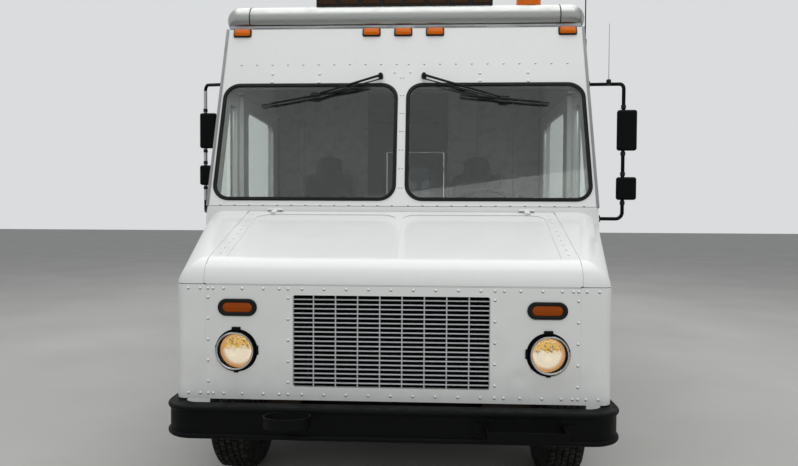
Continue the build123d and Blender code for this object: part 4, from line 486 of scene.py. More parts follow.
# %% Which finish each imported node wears
BODY_NODES = """nose_panel fenders hood cab_front side_wall_left side_wall_right rear_wall roof roof_cap
    door_left door_right serving_hatch rear_door"""
COATS = (
    (enamel, "white_paint", BODY_NODES),
    (radiator_black, "aluminium", "radiator"),
    (grille_aluminium, "aluminium", "grille"),
    (dash_vinyl, "black_plastic", "dashboard"),
    (bumper_black, "black_paint", "front_bumper bumper_brackets mirrors headlamp_rings"),
    (chassis_black, "black_paint", "frame_rails fuel_tank seat_bases"),
    (iron, "iron", "engine_block front_axle rear_axle leaf_springs knuckle_left knuckle_right tie_rod"),
    (stainless, "steel", "exhaust serving_counter cook_line roof_fan rear_bumper serving_shelf"),
    (stainless, "steel", "front_rim_left front_rim_right rear_rims_left rear_rims_right"),
    (pane, "glass", "cab_glass door_left_glass door_right_glass headlamp_lenses"),
    (smoked_pane, "glass", "rear_door_glass"),
    (black_plastic, "black_plastic", "lamp_housings wipers antennas steering_wheel"),
    (gasket_rubber, "rubber", "windscreen_seals"),
    (amber_lens, "amber", "amber_lenses"),
    (red_lens, "red", "rear_lamps"),
    (floor_sheet, "grey_panel", "floor"),
    (panelling, "grey_panel", "bulkhead"),
    (cloth, "seat_cloth", "seats"),
    (tyre_rubber, "tyre", "front_tyre_left front_tyre_right rear_tyres_left rear_tyres_right"),
)
slot_of = {finish.name: slot for finish, slot, nodes in COATS}
also_used = (
    (bowl_glow, "chrome"),
    (lamp_glass, "glass"),
    (dull_extrusion, "aluminium"),
    (deep_amber, "amber"),
    (unlit_amber, "amber"),
    (rivet_shadow_paint, "white_paint"),
    (rivet_enamel_painted_highlight, "white_paint"),
    (cap_aluminium, "white_paint"),
    (chrome, "chrome"),
    (sealant, "rubber"),
)
slot_of.update({finish.name: slot for finish, slot in also_used})
for finish, slot, nodes in COATS:
    for name in nodes.split():
        for material_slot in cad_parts[name].material_slots:
            material_slot.material = finish
dressed = sum(len(nodes.split()) for finish, slot, nodes in COATS)
print("Nodes dressed:", dressed, "of", len(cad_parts))

# %% [markdown]
# ## Landmarks and working planes
# Nearly everything on the front sits on one of two flat faces: the upright nose, and the cab front that
# leans back. A matrix for each lets a piece be laid out flat, as on a drawing, and then stood in place:
# X across the truck, Y up the face, Z out of it.

# %% Landmarks in metres and the two face matrices
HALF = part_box("roof")[1].x
ROOF_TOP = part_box("roof")[1].z
ROOF_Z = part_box("roof")[0].z
NOSE_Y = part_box("nose_panel")[0].y
REAR_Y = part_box("roof")[1].y
RAKE = radians(18.3)
COWL_Z = 1.585
COWL_Y = NOSE_Y + 0.930


def face_matrix(origin, across, up):
    """Matrix whose X runs across, Y up and Z out of a face."""
    across = Vector(across).normalized()
    up = Vector(up).normalized()
    out = across.cross(up)
    turn = Matrix((across, up, out)).transposed().to_4x4()
    return Matrix.Translation(origin) @ turn


NOSE = face_matrix((0, NOSE_Y, 0), (1, 0, 0), (0, 0, 1))
RAKED = face_matrix((0, COWL_Y, COWL_Z), (1, 0, 0), (0, sin(RAKE), cos(RAKE)))


def up_slope(z):
    """Distance up the raked face of a height."""
    return (z - COWL_Z) / cos(RAKE)


print("Nose at y", round(NOSE_Y, 3), "cowl at y", round(COWL_Y, 3), "rear at y", round(REAR_Y, 3))

# %% [markdown]
# ## Four ways to make a mesh
# Turned parts, such as lamp rings and tyres, are lathed from a profile. Trims and arms are a section
# swept along a path. Pads and lenses are a rounded outline stacked in rings that draw in towards the
# top, so no edge is knife sharp. All three are rings joined by faces, so one loft serves them all.

# %% Loft rings, lathe, sweep and stacked outlines
def loft(bm, rings, ring_closed=True, joined=False, caps=True):
    """Faces between neighbouring rings of equal length, and lids on the ends."""
    rows = [[bm.verts.new(point) for point in ring] for ring in rings]
    count = len(rows[0])
    pairs = list(zip(rows, rows[1:]))
    if joined:
        pairs.append((rows[-1], rows[0]))
    for lower, upper in pairs:
        for i in range(count if ring_closed else count - 1):
            j = (i + 1) % count
            bm.faces.new((lower[i], lower[j], upper[j], upper[i]))
    if caps and not joined:
        bm.faces.new(list(reversed(rows[0])))
        bm.faces.new(rows[-1])


def lathe(bm, matrix, profile, steps=32, joined=False, caps=True):
    """A profile of radius and height turned about the matrix's Z."""
    rings = []
    for radius, height in profile:
        angles = [2 * pi * step / steps for step in range(steps)]
        rings.append([matrix @ Vector((radius * cos(a), radius * sin(a), height)) for a in angles])
    loft(bm, rings, joined=joined, caps=caps)


def sweep(bm, path, section, out, closed=False):
    """A section of across and out offsets carried along a path; out is the face's normal."""
    rings = []
    count = len(path)
    for i, point in enumerate(path):
        before = path[i - 1] if closed or i > 0 else point
        after = path[(i + 1) % count] if closed or i < count - 1 else point
        along = (after - before).normalized()
        side = along.cross(out).normalized()
        rings.append([point + side * a + out * b for a, b in section])
    loft(bm, rings, joined=closed)


def rounded(width, height, radius, centre=(0.0, 0.0), arc=6):
    """Points round a rectangle with round corners."""
    points = []
    corners = ((1, 1, 0), (-1, 1, 90), (-1, -1, 180), (1, -1, 270))
    for sx, sy, start in corners:
        cx = centre[0] + sx * (width / 2 - radius)
        cy = centre[1] + sy * (height / 2 - radius)
        for step in range(arc + 1):
            angle = radians(start + 90 * step / arc)
            points.append((cx + radius * cos(angle), cy + radius * sin(angle)))
    return points


def pad(bm, matrix, size, radius, layers, centre=(0.0, 0.0), arc=5):
    """A rounded outline stacked in layers of inset and height."""
    rings = []
    for inset, height in layers:
        r = max(radius - inset, 0.0005)
        outline = rounded(size[0] - 2 * inset, size[1] - 2 * inset, r, centre, arc)
        rings.append([matrix @ Vector((x, y, height)) for x, y in outline])
    loft(bm, rings)


def bar(bm, low, high, soft=0.003):
    """A straight-sided bar between two corners, its long edges softened."""
    low, high = Vector(low), Vector(high)
    middle = (low + high) / 2
    size = high - low
    soft = min(soft, min(size) * 0.3)
    layers = ((soft, 0), (0, soft), (0, size.z - soft), (soft, size.z))
    matrix = Matrix.Translation((middle.x, middle.y, low.z))
    pad(bm, matrix, (size.x, size.y), soft, layers, arc=2)


triangles = {}


def piece(name, bm, finish, body="body", sharp=38):
    """A named piece from a working mesh; it rides on a body."""
    bmesh.ops.recalc_face_normals(bm, faces=bm.faces)
    mesh = bpy.data.meshes.new(name)
    bm.to_mesh(mesh)
    bm.free()
    mesh.materials.append(finish)
    mesh.shade_smooth()
    mesh.set_sharp_from_angle(angle=radians(sharp))
    obj = bpy.data.objects.new(name, mesh)
    bpy.context.scene.collection.objects.link(obj)
    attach(obj, body)
    triangles[name] = sum(len(face.vertices) - 2 for face in mesh.polygons)
    return obj


print("Mesh helpers are ready")

# %% [markdown]
# ## Rivets
# Panels are held by round-head aluminium rivets 12 mm across, painted over with the sheet. Each is a low
# dome, and there are well over a thousand, so they are made as one joined mesh for each body that
# carries them. A dome of three rings is enough at this size. The heads are a whiter copy of the enamel,
# a painted highlight, and a grey ring set a little low round each is painted shadow that makes a rivet
# readable from three metres.

# %% A rivet, rows of rivets, and the rows on the front
RIVET_R = 0.0062
RIVET_H = 0.0042
RIVET_STEPS = 8
HEAD_TRIANGLES = 4 * RIVET_STEPS + 2 * (RIVET_STEPS - 2)


def rivet(pair, matrix, x, y, radius=RIVET_R, height=RIVET_H):
    """One low dome on a face, in the pair's first mesh, and a ring of painted shadow set just below it in
    the second.
    """
    heads, rings = pair
    profile = ((radius, 0), (radius * 0.9, height * 0.55), (radius * 0.5, height))
    lathe(heads, matrix @ Matrix.Translation((x, y, 0)), profile, RIVET_STEPS)
    # The ring is set 1.8 mm low, as painted shadow under the head.
    lower = matrix @ Matrix.Translation((x, y - 0.0018, 0))
    lathe(rings, lower, ((radius + 0.0013, 0), (radius + 0.0009, 0.0004)), RIVET_STEPS)


def rivet_row(pair, matrix, start, end, gap=0.072, allowed=None):
    """Evenly spaced rivets from start to end, both included, where allowed lets them be."""
    start, end = Vector(start), Vector(end)
    count = max(1, round((end - start).length / gap))
    for step in range(count + 1):
        spot = start.lerp(end, step / count)
        if allowed is None or allowed(spot.x, spot.y):
            rivet(pair, matrix, spot.x, spot.y)


def rivet_meshes():
    """A fresh pair of working meshes for heads and rings."""
    return bmesh.new(), bmesh.new()


def set_rivets(name, pair, body="body"):
    """Both meshes of a pair as pieces on one body."""
    heads, rings = pair
    piece(f"rivets_{name}", heads, rivet_enamel_painted_highlight, body)
    piece(f"rivet_painted_shadow_{name}", rings, rivet_shadow_paint, body)
    print("Rivets on", name, triangles[f"rivets_{name}"] // HEAD_TRIANGLES)


ROW_X = (0, 0.105, 0.210, 0.315, 0.419, 0.485, 0.527, 0.603, 0.704, 0.793, 0.844, 0.868, 0.906, 0.963)
ROW_Z = (0.682, 1.182)
COLUMN_X = (0.485, 0.868)

front = rivet_meshes()
for z in ROW_Z:
    for x in ROW_X:
        for side in (-1, 1) if x else (1,):
            rivet(front, NOSE, side * x, z)
for side in (-1, 1):
    for x in COLUMN_X:
        rivet_row(front, NOSE, (side * x, ROW_Z[0] + 0.057), (side * x, ROW_Z[1] - 0.043), 0.1)
ABOVE_WINDOWS = up_slope(2.548)
for side in (-1, 1):
    rivet_row(front, RAKED, (side * 0.04, ABOVE_WINDOWS), (side * 1.09, ABOVE_WINDOWS), 0.105)
    rivet_row(front, RAKED, (side * 0.05, 0.014), (side * 1.13, 0.014), 0.09)
    rivet(front, RAKED, side * 0.052, up_slope(2.486))
BOLTS = ((-0.872, 2.480, 2.423), (-0.555, 2.479, 2.421), (0.513, 2.479, 2.426), (0.828, 2.481, 2.424))
for x, high, low in BOLTS:
    for z in (high, low):
        rivet(front, RAKED, x, up_slope(z), 0.009, 0.005)
for v in range(7):
    for x in (-0.009, 0.009):
        rivet(front, RAKED, x, 0.13 + v * 0.13, 0.0045, 0.003)
set_rivets("front", front)

# %% [markdown]
# ## Windscreen gaskets
# A black extruded gasket grips both the sheet and the pane, and a locking strip is pressed into its
# groove. A flat band would miss the two rounded lips and the line between them. The opening's outline is
# drawn once for each point of the extrusion's section, grown and raised to match it, and the outlines
# are joined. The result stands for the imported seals.

# %% Gaskets round the windscreens
WIN_IN, WIN_OUT = 0.026, 1.192
WIN_Z = (1.622, 2.411)
WIN_R = 0.090
SEAL_OVER = 0.020
LIP = ((-5, -4), (-5, 4), (-2, 7.6), (3, 8.4), (6, 6.4))
LIP = LIP + ((8.5, 6.4), (11, 8.6), (16, 7.6), (19.5, 4), (19.5, 0.4))


def windscreen_outline(side, grow):
    """Points round one windscreen opening on the raked face."""
    low, high = up_slope(WIN_Z[0]) + SEAL_OVER - grow, up_slope(WIN_Z[1]) - SEAL_OVER + grow
    inner, outer = WIN_IN + SEAL_OVER - grow, WIN_OUT - SEAL_OVER + grow
    centre = (side * (inner + outer) / 2, (low + high) / 2)
    return rounded(outer - inner, high - low, WIN_R + grow, centre, 8)


out_of_rake = RAKED.to_3x3() @ Vector((0, 0, 1))
gaskets = bmesh.new()
for side in (-1, 1):
    outlines = [windscreen_outline(side, grow / 1000) for grow, out in LIP]
    rings = []
    for step in range(len(outlines[0])):
        ring = [Vector((*line[step], out / 1000)) for line, (grow, out) in zip(outlines, LIP)]
        rings.append([RAKED @ point for point in ring])
    loft(gaskets, rings, joined=True)
gaskets = piece("windscreen_gaskets", gaskets, gasket_rubber)
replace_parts(gaskets, "windscreen_seals")
print("Gaskets:", triangles["windscreen_gaskets"], "triangles")

# %% [markdown]
# ## Headlamps
# Behind the bright ring sits an aluminised bowl, a bulb and a pressed glass lens that bulges forward.
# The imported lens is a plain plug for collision, so a thin shell, a turned bowl and a bulb take its
# place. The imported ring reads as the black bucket, a thin bright bezel sits in it a little outboard, and
# the bucket's mounting ears stand at the hours they have in the reference.

# %% Bowls, bulbs, lenses, bezels and ears
bowls, bulbs, lenses, bezels, ears = (bmesh.new() for _ in range(5))
BOWL = ((0.014, -0.050), (0.034, -0.045), (0.054, -0.034), (0.070, -0.018))
BOWL = BOWL + ((0.0775, -0.004), (0.0795, 0.0085))
DOME = ((0.0788, 0.000), (0.0780, 0.003), (0.066, 0.0085), (0.046, 0.012))
DOME = DOME + ((0.022, 0.0138), (0.004, 0.0141))
BEZEL = ((0.0800, 0.004), (0.0810, 0.012), (0.0835, 0.0155), (0.0885, 0.0150), (0.0915, 0.010))
BEZEL = BEZEL + ((0.0920, 0.003), (0.0900, 0.0))
EARS = ((90, 0.018, 0.042), (2, 0.012, 0.044), (-39, 0.008, 0.018))
EARS = EARS + ((-90, 0.010, 0.022), (168, 0.007, 0.016))
for side in (-1, 1):
    bucket_at = NOSE @ Matrix.Translation((side * LAMP_X, LAMP_Z, 0))
    lamp_at = NOSE @ Matrix.Translation((side * (LAMP_X + 0.005), LAMP_Z - 0.001, 0.001))
    lathe(bowls, lamp_at, BOWL, 40, caps=False)
    lathe(bulbs, lamp_at, ((0.013, -0.052), (0.011, -0.030), (0.008, -0.022), (0.003, -0.019)), 16)
    inner_dome = tuple((r, h - 0.003) for r, h in reversed(DOME))
    lathe(lenses, lamp_at, DOME + inner_dome, 40)
    lathe(bezels, lamp_at, BEZEL, 48, joined=True)
    for angle, deep, wide in EARS:
        angle = angle if side < 0 else 180 - angle
        turn = bucket_at @ Matrix.Rotation(radians(angle), 4, "Z")
        pad(ears, turn, (deep, wide), 0.003, ((0, 0), (0, 0.006), (0.002, 0.008)), (0.094 + deep / 2, 0))
piece("headlamp_bowls", bowls, bowl_glow)
piece("headlamp_bulbs", bulbs, bowl_glow)
lens = piece("headlamp_glass", lenses, lamp_glass)
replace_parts(lens, "headlamp_lenses")
piece("headlamp_bezels", bezels, chrome)
piece("headlamp_ears", ears, bumper_black)
print("Headlamp pieces:", triangles["headlamp_glass"], "triangles in the glass")

# %% [markdown]
# ## Amber lamps
# Turn signals are sealed ovals in a rubber grommet, markers are small caps on a dark base, the roof
# carries a bar of eight flat modules and a round beacon. The lenses are stacked outlines that draw in
# at the top, so that they bulge as moulded acrylic does, and the beacon is lathed with shallow flutes.

# %% Signals, markers, light bar and beacon
SIGNAL_X, SIGNAL_Z = 0.726, 1.092
SIGNAL = (0.141, 0.046)
GROMMET = (0.186, 0.081)
MARKER_X = (-1.106, -0.216, 0, 0.216, 1.106)
MARKER_V = up_slope(2.780)
BAR_HALF, BAR_TALL, MODULES = 0.615, 0.070, 8
BAR_Y = NOSE_Y + 1.425
BEACON_AT = (0.880, NOSE_Y + 1.545, ROOF_TOP + 0.020)
BEACON_R = 0.088

amber, signals, modules, grommets, rims = (bmesh.new() for _ in range(5))
bulge = ((0, -0.006), (0, 0.004), (0.002, 0.0065), (0.006, 0.0085), (0.013, 0.0098))
for side in (-1, 1):
    spot = (side * SIGNAL_X, SIGNAL_Z)
    pad(signals, NOSE, SIGNAL, SIGNAL[1] / 2, bulge, spot, 8)
    outline = rounded(GROMMET[0] - 0.018, GROMMET[1] - 0.018, GROMMET[1] / 2 - 0.0091, spot, 10)
    path = [NOSE @ Vector((x, y, 0)) for x, y in outline]
    ring = [(0.009 * cos(radians(a)), 0.003 + 0.0065 * sin(radians(a))) for a in range(0, 360, 40)]
    sweep(grommets, path, ring, Vector((0, -1, 0)), closed=True)
    outline = rounded(SIGNAL[0] + 0.008, SIGNAL[1] + 0.008, SIGNAL[1] / 2 + 0.0039, spot, 10)
    path = [NOSE @ Vector((x, y, 0)) for x, y in outline]
    ring = [(0.004 * cos(radians(a)), 0.004 + 0.003 * sin(radians(a))) for a in range(0, 360, 45)]
    sweep(grommets, path, ring, Vector((0, -1, 0)), closed=True)
for x in MARKER_X:
    pad(rims, RAKED, (0.124, 0.062), 0.014, ((0, 0.0002), (0, 0.008), (0.002, 0.010)), (x, MARKER_V))
    dome = ((0, 0.009), (0, 0.019), (0.003, 0.024), (0.009, 0.0275))
    pad(amber, RAKED, (0.106, 0.046), 0.010, dome, (x, MARKER_V))
module = 2 * BAR_HALF / MODULES
bar_face = face_matrix((0, BAR_Y, ROOF_TOP + 0.010 + BAR_TALL / 2), (1, 0, 0), (0, 0, 1))
for step in range(MODULES):
    centre = (-BAR_HALF + (step + 0.5) * module, 0)
    size = (module - 0.024, BAR_TALL - 0.024)
    pad(modules, bar_face, size, 0.006, ((0, -0.020), (0, -0.004), (0.002, -0.001), (0.008, 0.001)), centre)
beacon = Matrix.Translation(BEACON_AT)
dome = [(BEACON_R * 0.985, 0.0)]
for step in range(9):
    height = 0.010 + step * 0.009
    dome.append((BEACON_R * (0.985 if step % 2 else 0.955), height))
for share, height in ((0.93, 0.098), (0.82, 0.110), (0.60, 0.117), (0.25, 0.120)):
    dome.append((BEACON_R * share, height))
lathe(amber, beacon, dome, 40)
for name, working, finish in (
    ("amber_lens_caps", amber, amber_lens),
    ("turn_signal_lenses", signals, deep_amber),
    ("light_bar_modules", modules, unlit_amber),
):
    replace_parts(piece(name, working, finish), "amber_lenses")
piece("signal_grommets", grommets, gasket_rubber)
piece("marker_rims", rims, black_plastic)
print("Amber lenses:", triangles["amber_lens_caps"], "triangles")

# %% [markdown]
# ## Wipers
# Each wiper has a driven arm and a thin second rod that keeps the blade level, both from a pivot above
# the glass. The blade is a bow of spring steel over a rubber edge. Swept sections make the tapering arm,
# and the blade runs straight from tip to heel.

# %% Wiper arms and blades
PIVOT = (0.143, up_slope(2.452))
BLADES = ((-1, (-0.924, 2.248), (-0.213, 2.380)), (1, (0.379, 2.314), (0.952, 2.258)))
arm_section = ((-7, 26), (-7, 34), (-4, 38), (4, 38), (7, 34), (7, 26))
rod_section = ((-3, 24), (-3, 30), (3, 30), (3, 24))
bow_section = ((-6, 20), (-6, 25), (-3, 29), (3, 29), (6, 25), (6, 20))
edge_section = ((-2, 8.5), (-6, 18), (6, 18), (2, 8.5))
wipers = bmesh.new()


def on_rake(x, v, out=0.0):
    """A point on the raked face, out from it in metres."""
    return RAKED @ Vector((x, v, out))


def swept(bm, points, section, taper=1.0):
    """A section in millimetres carried over points of the raked face."""
    rings = []
    for i, (x, v) in enumerate(points):
        ahead = points[min(i + 1, len(points) - 1)]
        behind = points[max(i - 1, 0)]
        along = Vector((ahead[0] - behind[0], ahead[1] - behind[1])).normalized()
        scale = 1 + (taper - 1) * i / (len(points) - 1)
        ring = []
        for across, out in section:
            shift = across * scale / 1000
            ring.append(on_rake(x - along.y * shift, v + along.x * shift, out / 1000))
        rings.append(ring)
    loft(bm, rings)


for side, tip, heel in BLADES:
    tip, heel = (tip[0], up_slope(tip[1])), (heel[0], up_slope(heel[1]))
    middle = ((tip[0] + heel[0]) / 2, (tip[1] + heel[1]) / 2)
    pivot = (side * PIVOT[0], PIVOT[1])
    hub = RAKED @ Matrix.Translation((*pivot, 0))
    lathe(wipers, hub, ((0.017, 0), (0.017, 0.03), (0.012, 0.042)), 20)
    lathe(wipers, hub, ((0.008, 0.042), (0.008, 0.047), (0.003, 0.05)), 8)
    swept(wipers, [pivot, middle], arm_section, 0.6)
    second = (pivot[0], pivot[1] - 0.028)
    swept(wipers, [second, (middle[0], middle[1] - 0.012)], rod_section)
    steps = [i / 10 for i in range(11)]
    line = [(tip[0] + (heel[0] - tip[0]) * t, tip[1] + (heel[1] - tip[1]) * t) for t in steps]
    swept(wipers, line, edge_section)
    swept(wipers, line[1:10], bow_section)
    clip = RAKED @ Matrix.Translation((*middle, 0))
    pad(wipers, clip, (0.060, 0.026), 0.006, ((0, 0.026), (0, 0.040), (0.003, 0.043)))
wipers = piece("wiper_arms_and_blades", wipers, black_plastic)
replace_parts(wipers, "wipers")
print("Wipers:", triangles["wiper_arms_and_blades"], "triangles")

# %% [markdown]
# ## Roof cap
# The front edge of the roof is a bulged roll with a cast corner at each end, bedded on a flat strip. Its
# lower half faces the road and reads dark, which a plain rounded edge doesn't show. One section is
# carried along a U that runs up one side, round both corners and back down the other. It stands for the
# packed cap, and dark sealant fills the two joints beside the corners. The roll was left in mill finish,
# so its top mirrors the sky and its front mirrors the road.
#
# A fault is left here. The cap ends at CAP_LOW_Z and the walls at ROOF_Z, 22 mm lower. The strip closes
# that in front, but the sides and the corners' outer edges stay open, so one sees through the van there.
# To mend it, the sides of the roll have to start at or below ROOF_Z.

# %% Rolled cap, its deck and the sealed joints
CAP_OVER = 0.022
CAP_ROLL = 0.092
CAP_MIDDLE_Z = ROOF_TOP - CAP_ROLL
CAP_FRONT = NOSE_Y + 1.330
CAP_BACK = -1.461
CAP_CORNER = 0.085
CAP_LOW_Z = 2.838
JOINT_X = HALF - 0.158

roll = [(0.060, CAP_LOW_Z), (0.030, CAP_LOW_Z)]
for degrees in range(-34, 91, 8):
    angle = radians(degrees)
    roll.append((CAP_ROLL * (1 - cos(angle)), CAP_MIDDLE_Z + CAP_ROLL * sin(angle)))
roll += [(0.145, ROOF_TOP), (0.145, ROOF_TOP - 0.020), (0.064, CAP_LOW_Z + 0.004)]


def cap_outline(inset):
    """The cap's U seen from above, moved in by inset, with each point's height left out."""
    wide = HALF + CAP_OVER - inset
    radius = max(CAP_CORNER + CAP_OVER - inset, 0.004)
    points = [(-wide, CAP_BACK)]
    for sx, start in ((-1, 180), (1, 270)):
        centre_x, centre_y = sx * (wide - radius), CAP_FRONT + inset + radius
        for step in range(13):
            angle = radians(start + 7.5 * step)
            points.append((centre_x + radius * cos(angle), centre_y + radius * sin(angle)))
    points.append((wide, CAP_BACK))
    return points


cap = bmesh.new()
outlines = [cap_outline(inset) for inset, z in roll]
rings = []
for step in range(len(outlines[0])):
    rings.append([Vector((*outline[step], z)) for outline, (inset, z) in zip(outlines, roll)])
loft(cap, rings)
deck = cap_outline(0.144)
cap.faces.new([cap.verts.new((x, y, ROOF_TOP)) for x, y in deck])
cap = piece("rolled_roof_cap", cap, cap_aluminium, sharp=50)
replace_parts(cap, "roof_cap")
joints = bmesh.new()
for side in (-1, 1):
    line = []
    for step, (inset, z) in enumerate(roll[1:-2]):
        wander = 0.0016 * sin(step * 2.3 + side)
        line.append(Vector((side * JOINT_X + wander, CAP_FRONT + inset, z)))
    section = [(-0.004, 0), (-0.003, 0.0016), (0.003, 0.0016), (0.004, 0)]
    rows = []
    for step, point in enumerate(line):
        inset, z = roll[step + 1]
        out = Vector((0, inset - CAP_ROLL, z - CAP_MIDDLE_Z)).normalized()
        rows.append([point + Vector((a, 0, 0)) + out * b for a, b in section])
    loft(joints, rows)
piece("cap_joint_sealant", joints, sealant)
trims = bmesh.new()
for low, high in ((-1.030, -0.790), (-0.560, -0.080), (0.080, 0.560), (0.790, 1.030)):
    plate = ((low + high) / 2, up_slope(2.826))
    pad(trims, RAKED, (high - low, 0.016), 0.003, ((0, 0.000), (0, 0.003), (0.001, 0.004)), plate)
pad(trims, RAKED, (2.400, 0.026), 0.002, ((0, -0.002), (0, 0.0012), (0.001, 0.0018)), (0, up_slope(2.824)))
piece("cap_strip_plates", trims, dull_extrusion)
cowl_seam = bmesh.new()
pad(cowl_seam, RAKED, (2.400, 0.0026), 0.001, ((0, 0), (0, 0.0004)), (0, 0.0045))
piece("cowl_seam_sealant", cowl_seam, sealant)
print("Cap:", triangles["rolled_roof_cap"], "triangles, open above the walls by",
      round((CAP_LOW_Z - ROOF_Z) * 1000), "mm at the sides")

# %% [markdown]
# ## Corner extrusions and the space behind the grille
# The raked front meets each side in an aluminium corner extrusion that laps both sheets. Behind the
# grille a black shroud leads the air to the radiator, so the gaps between the bars look black. Both are
# thin folded parts, swept or stacked from flat outlines.

# %% Corner extrusions and radiator shroud
corners = bmesh.new()
FOLD = ((-14, 0), (-14, 3), (-11, 4.5), (0, 4.5), (1.5, 3), (1.5, -22), (1, -23), (0.2, -23), (0.2, 0))
for side in (-1, 1):
    path = [RAKED @ Vector((side * HALF, up_slope(z), 0)) for z in (COWL_Z + 0.004, 2.20, ROOF_Z - 0.004)]
    fold = [(side * a / 1000, b / 1000) for a, b in FOLD]
    sweep(corners, path, fold, out_of_rake)
piece("corner_extrusions", corners, dull_extrusion)

shroud = bmesh.new()
for low, high in (
    ((-0.475, NOSE_Y + 0.028, 0.700), (-0.400, NOSE_Y + 0.060, 1.165)),
    ((0.400, NOSE_Y + 0.028, 0.700), (0.475, NOSE_Y + 0.060, 1.165)),
    ((-0.475, NOSE_Y + 0.028, 1.150), (0.475, NOSE_Y + 0.060, 1.165)),
    ((-0.475, NOSE_Y + 0.028, 0.688), (0.475, NOSE_Y + 0.060, 0.702)),
):
    bar(shroud, low, high)
piece("radiator_shroud", shroud, radiator_black)
print("Shroud and extrusions made")

# %% [markdown]
# ## Grille
# Nineteen level aluminium bars stand on eight upright rods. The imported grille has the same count, in the
# same opening, but its bars are 6 mm high, sharp cornered and 20.95 mm apart, in a frame 8 mm wide.
# Measured against its opening, the photograph's grille has them 21.9 mm apart, thinner, and with no
# frame to be seen. These bars follow the photograph, so the outermost two are about 9 mm from the packed
# ones, all are 2 mm shallower, and slim side plates take the frame's place. The opening and the middle
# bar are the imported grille's.

# %% Thin bars, rods and side plates
BAR_STEP = 0.0219
BAR_HALF_H = 0.0026
ROD_STEP = 0.1045
ROD_R = 0.0034
PLATE_T = 0.0028
grille_low, grille_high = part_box("grille")
grille_middle = (grille_low.z + grille_high.z) / 2
bars = bmesh.new()
for step in range(-9, 10):
    z = grille_middle + BAR_STEP * step
    low = (grille_low.x, NOSE_Y + 0.004, z - BAR_HALF_H)
    bar(bars, low, (grille_high.x, NOSE_Y + 0.018, z + BAR_HALF_H), 0.0012)
for step in range(8):
    rod = Matrix.Translation(((step - 3.5) * ROD_STEP, NOSE_Y + 0.0085, 0))
    lathe(bars, rod, ((ROD_R, grille_low.z), (ROD_R, grille_high.z)), 10)
for x in (grille_low.x, grille_high.x - PLATE_T):
    high = (x + PLATE_T, NOSE_Y + 0.020, grille_high.z)
    bar(bars, (x, NOSE_Y + 0.003, grille_low.z), high, 0.0008)
bars = piece("thin_grille_bars", bars, grille_aluminium)
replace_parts(bars, "grille")
opening = round((grille_high.z - grille_low.z) * 1000)
print("Grille bars", BAR_STEP * 1000, "mm apart in an opening of", opening, "mm")

# %% [markdown]
# ## Fastenings on curved panels
# The hood, the fenders and the bumper curve, so the place of a rivet on them can't be typed in. A
# straight line is sent at the panel instead, and where it lands gives both the place and the tilt. The
# same lines find where the hood's two seams run, so that a shallow gutter can be laid along each.

# %% Where a line lands on a packed surface
skins = {}


def landing(node, start, direction):
    """Matrix on a node's surface where a line from start meets it, Z out of the surface."""
    if node not in skins:
        skins[node] = BVHTree.FromObject(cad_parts[node], bpy.context.evaluated_depsgraph_get())
    spot, normal, index, distance = skins[node].ray_cast(Vector(start), Vector(direction).normalized())
    if spot is None:
        return None
    across = Vector((0, 0, 1)).cross(normal)
    if across.length < 0.1:
        across = Vector((1, 0, 0))
    return face_matrix(spot, across, normal.cross(across))


def landed_rivets(pair, node, starts, direction, radius=RIVET_R, height=RIVET_H):
    """Rivets wherever lines from the starts meet a node."""
    for start in starts:
        spot = landing(node, start, direction)
        if spot is not None:
            rivet(pair, spot, 0, 0, radius, height)


seen = landing("hood", (0, NOSE_Y + 0.5, 2.0), (0, 0, -1)).translation
print("Half a metre back the hood is", round(seen.z, 3), "m high")

# %% Gutters along the hood's seams
SEAM_X = 0.8852
HOOD_FLARE = 0.0645
gutters = bmesh.new()
for side in (-1, 1):
    spots = []
    for z in (1.206, 1.23, 1.26, 1.28):
        spots.append(landing("hood", (side * 0.868, -5, z), (0, 1, 0)))
    for step in range(17):
        s = 0.035 + step * 0.053
        start = (side * (0.871 + HOOD_FLARE * s), NOSE_Y + s, 2.0)
        spots.append(landing("hood", start, (0, 0, -1)))
    rows = []
    for spot in spots:
        if spot is None:
            continue
        out = spot.to_3x3() @ Vector((0, 0, 1))
        middle = spot.translation - out * 0.003
        middle.x = side * (SEAM_X + HOOD_FLARE * (middle.y - NOSE_Y))
        shifts = ((-0.0042, -0.004), (-0.0042, 0), (0.0042, 0), (0.0042, -0.004))
        rows.append([middle + Vector((a, 0, 0)) + out * b for a, b in shifts])
    loft(gutters, rows)
bar(gutters, (-0.875, NOSE_Y + 0.0015, 1.1975), (0.875, NOSE_Y + 0.018, 1.2022), 0.0005)
piece("hood_seam_gutters", gutters, enamel)
print("Gutters:", triangles["hood_seam_gutters"], "triangles")

# %% Rivets on hood and fenders, bolts on the bumper
hood = rivet_meshes()
runs = [0.15 + 0.078 * i for i in range(10)]
for side in (-1, 1):
    starts = [(side * (0.846 + 0.058 * s), NOSE_Y + s, 2.0) for s in runs]
    landed_rivets(hood, "hood", starts, (0, 0, -1))
set_rivets("hood", hood, "hood")

fenders = rivet_meshes()
AXLE_Z = 0.4075
AXLE_Y = NOSE_Y + 0.870
for side in (-1, 1):
    ring = [radians(18 + 8 * i) for i in range(17)]
    starts = [(side * 2, AXLE_Y - 0.535 * cos(a), AXLE_Z + 0.535 * sin(a)) for a in ring]
    landed_rivets(fenders, "fenders", starts, (-side, 0, 0))
    starts = [(side * 2, COWL_Y - 0.035, z / 100) for z in range(102, 150, 8)]
    landed_rivets(fenders, "fenders", starts, (-side, 0, 0))
set_rivets("fenders", fenders)

bolts = bmesh.new()
for x in (-0.455, -0.385, 0.385, 0.455):
    for z in (0.545, 0.610):
        spot = landing("front_bumper", (x, -5, z), (0, 1, 0))
        if spot is not None:
            lathe(bolts, spot, ((0.013, 0), (0.0115, 0.004), (0.006, 0.0062)), 12)
piece("bumper_bolts", bolts, bumper_black)
print("Bumper bolts:", triangles["bumper_bolts"], "triangles")

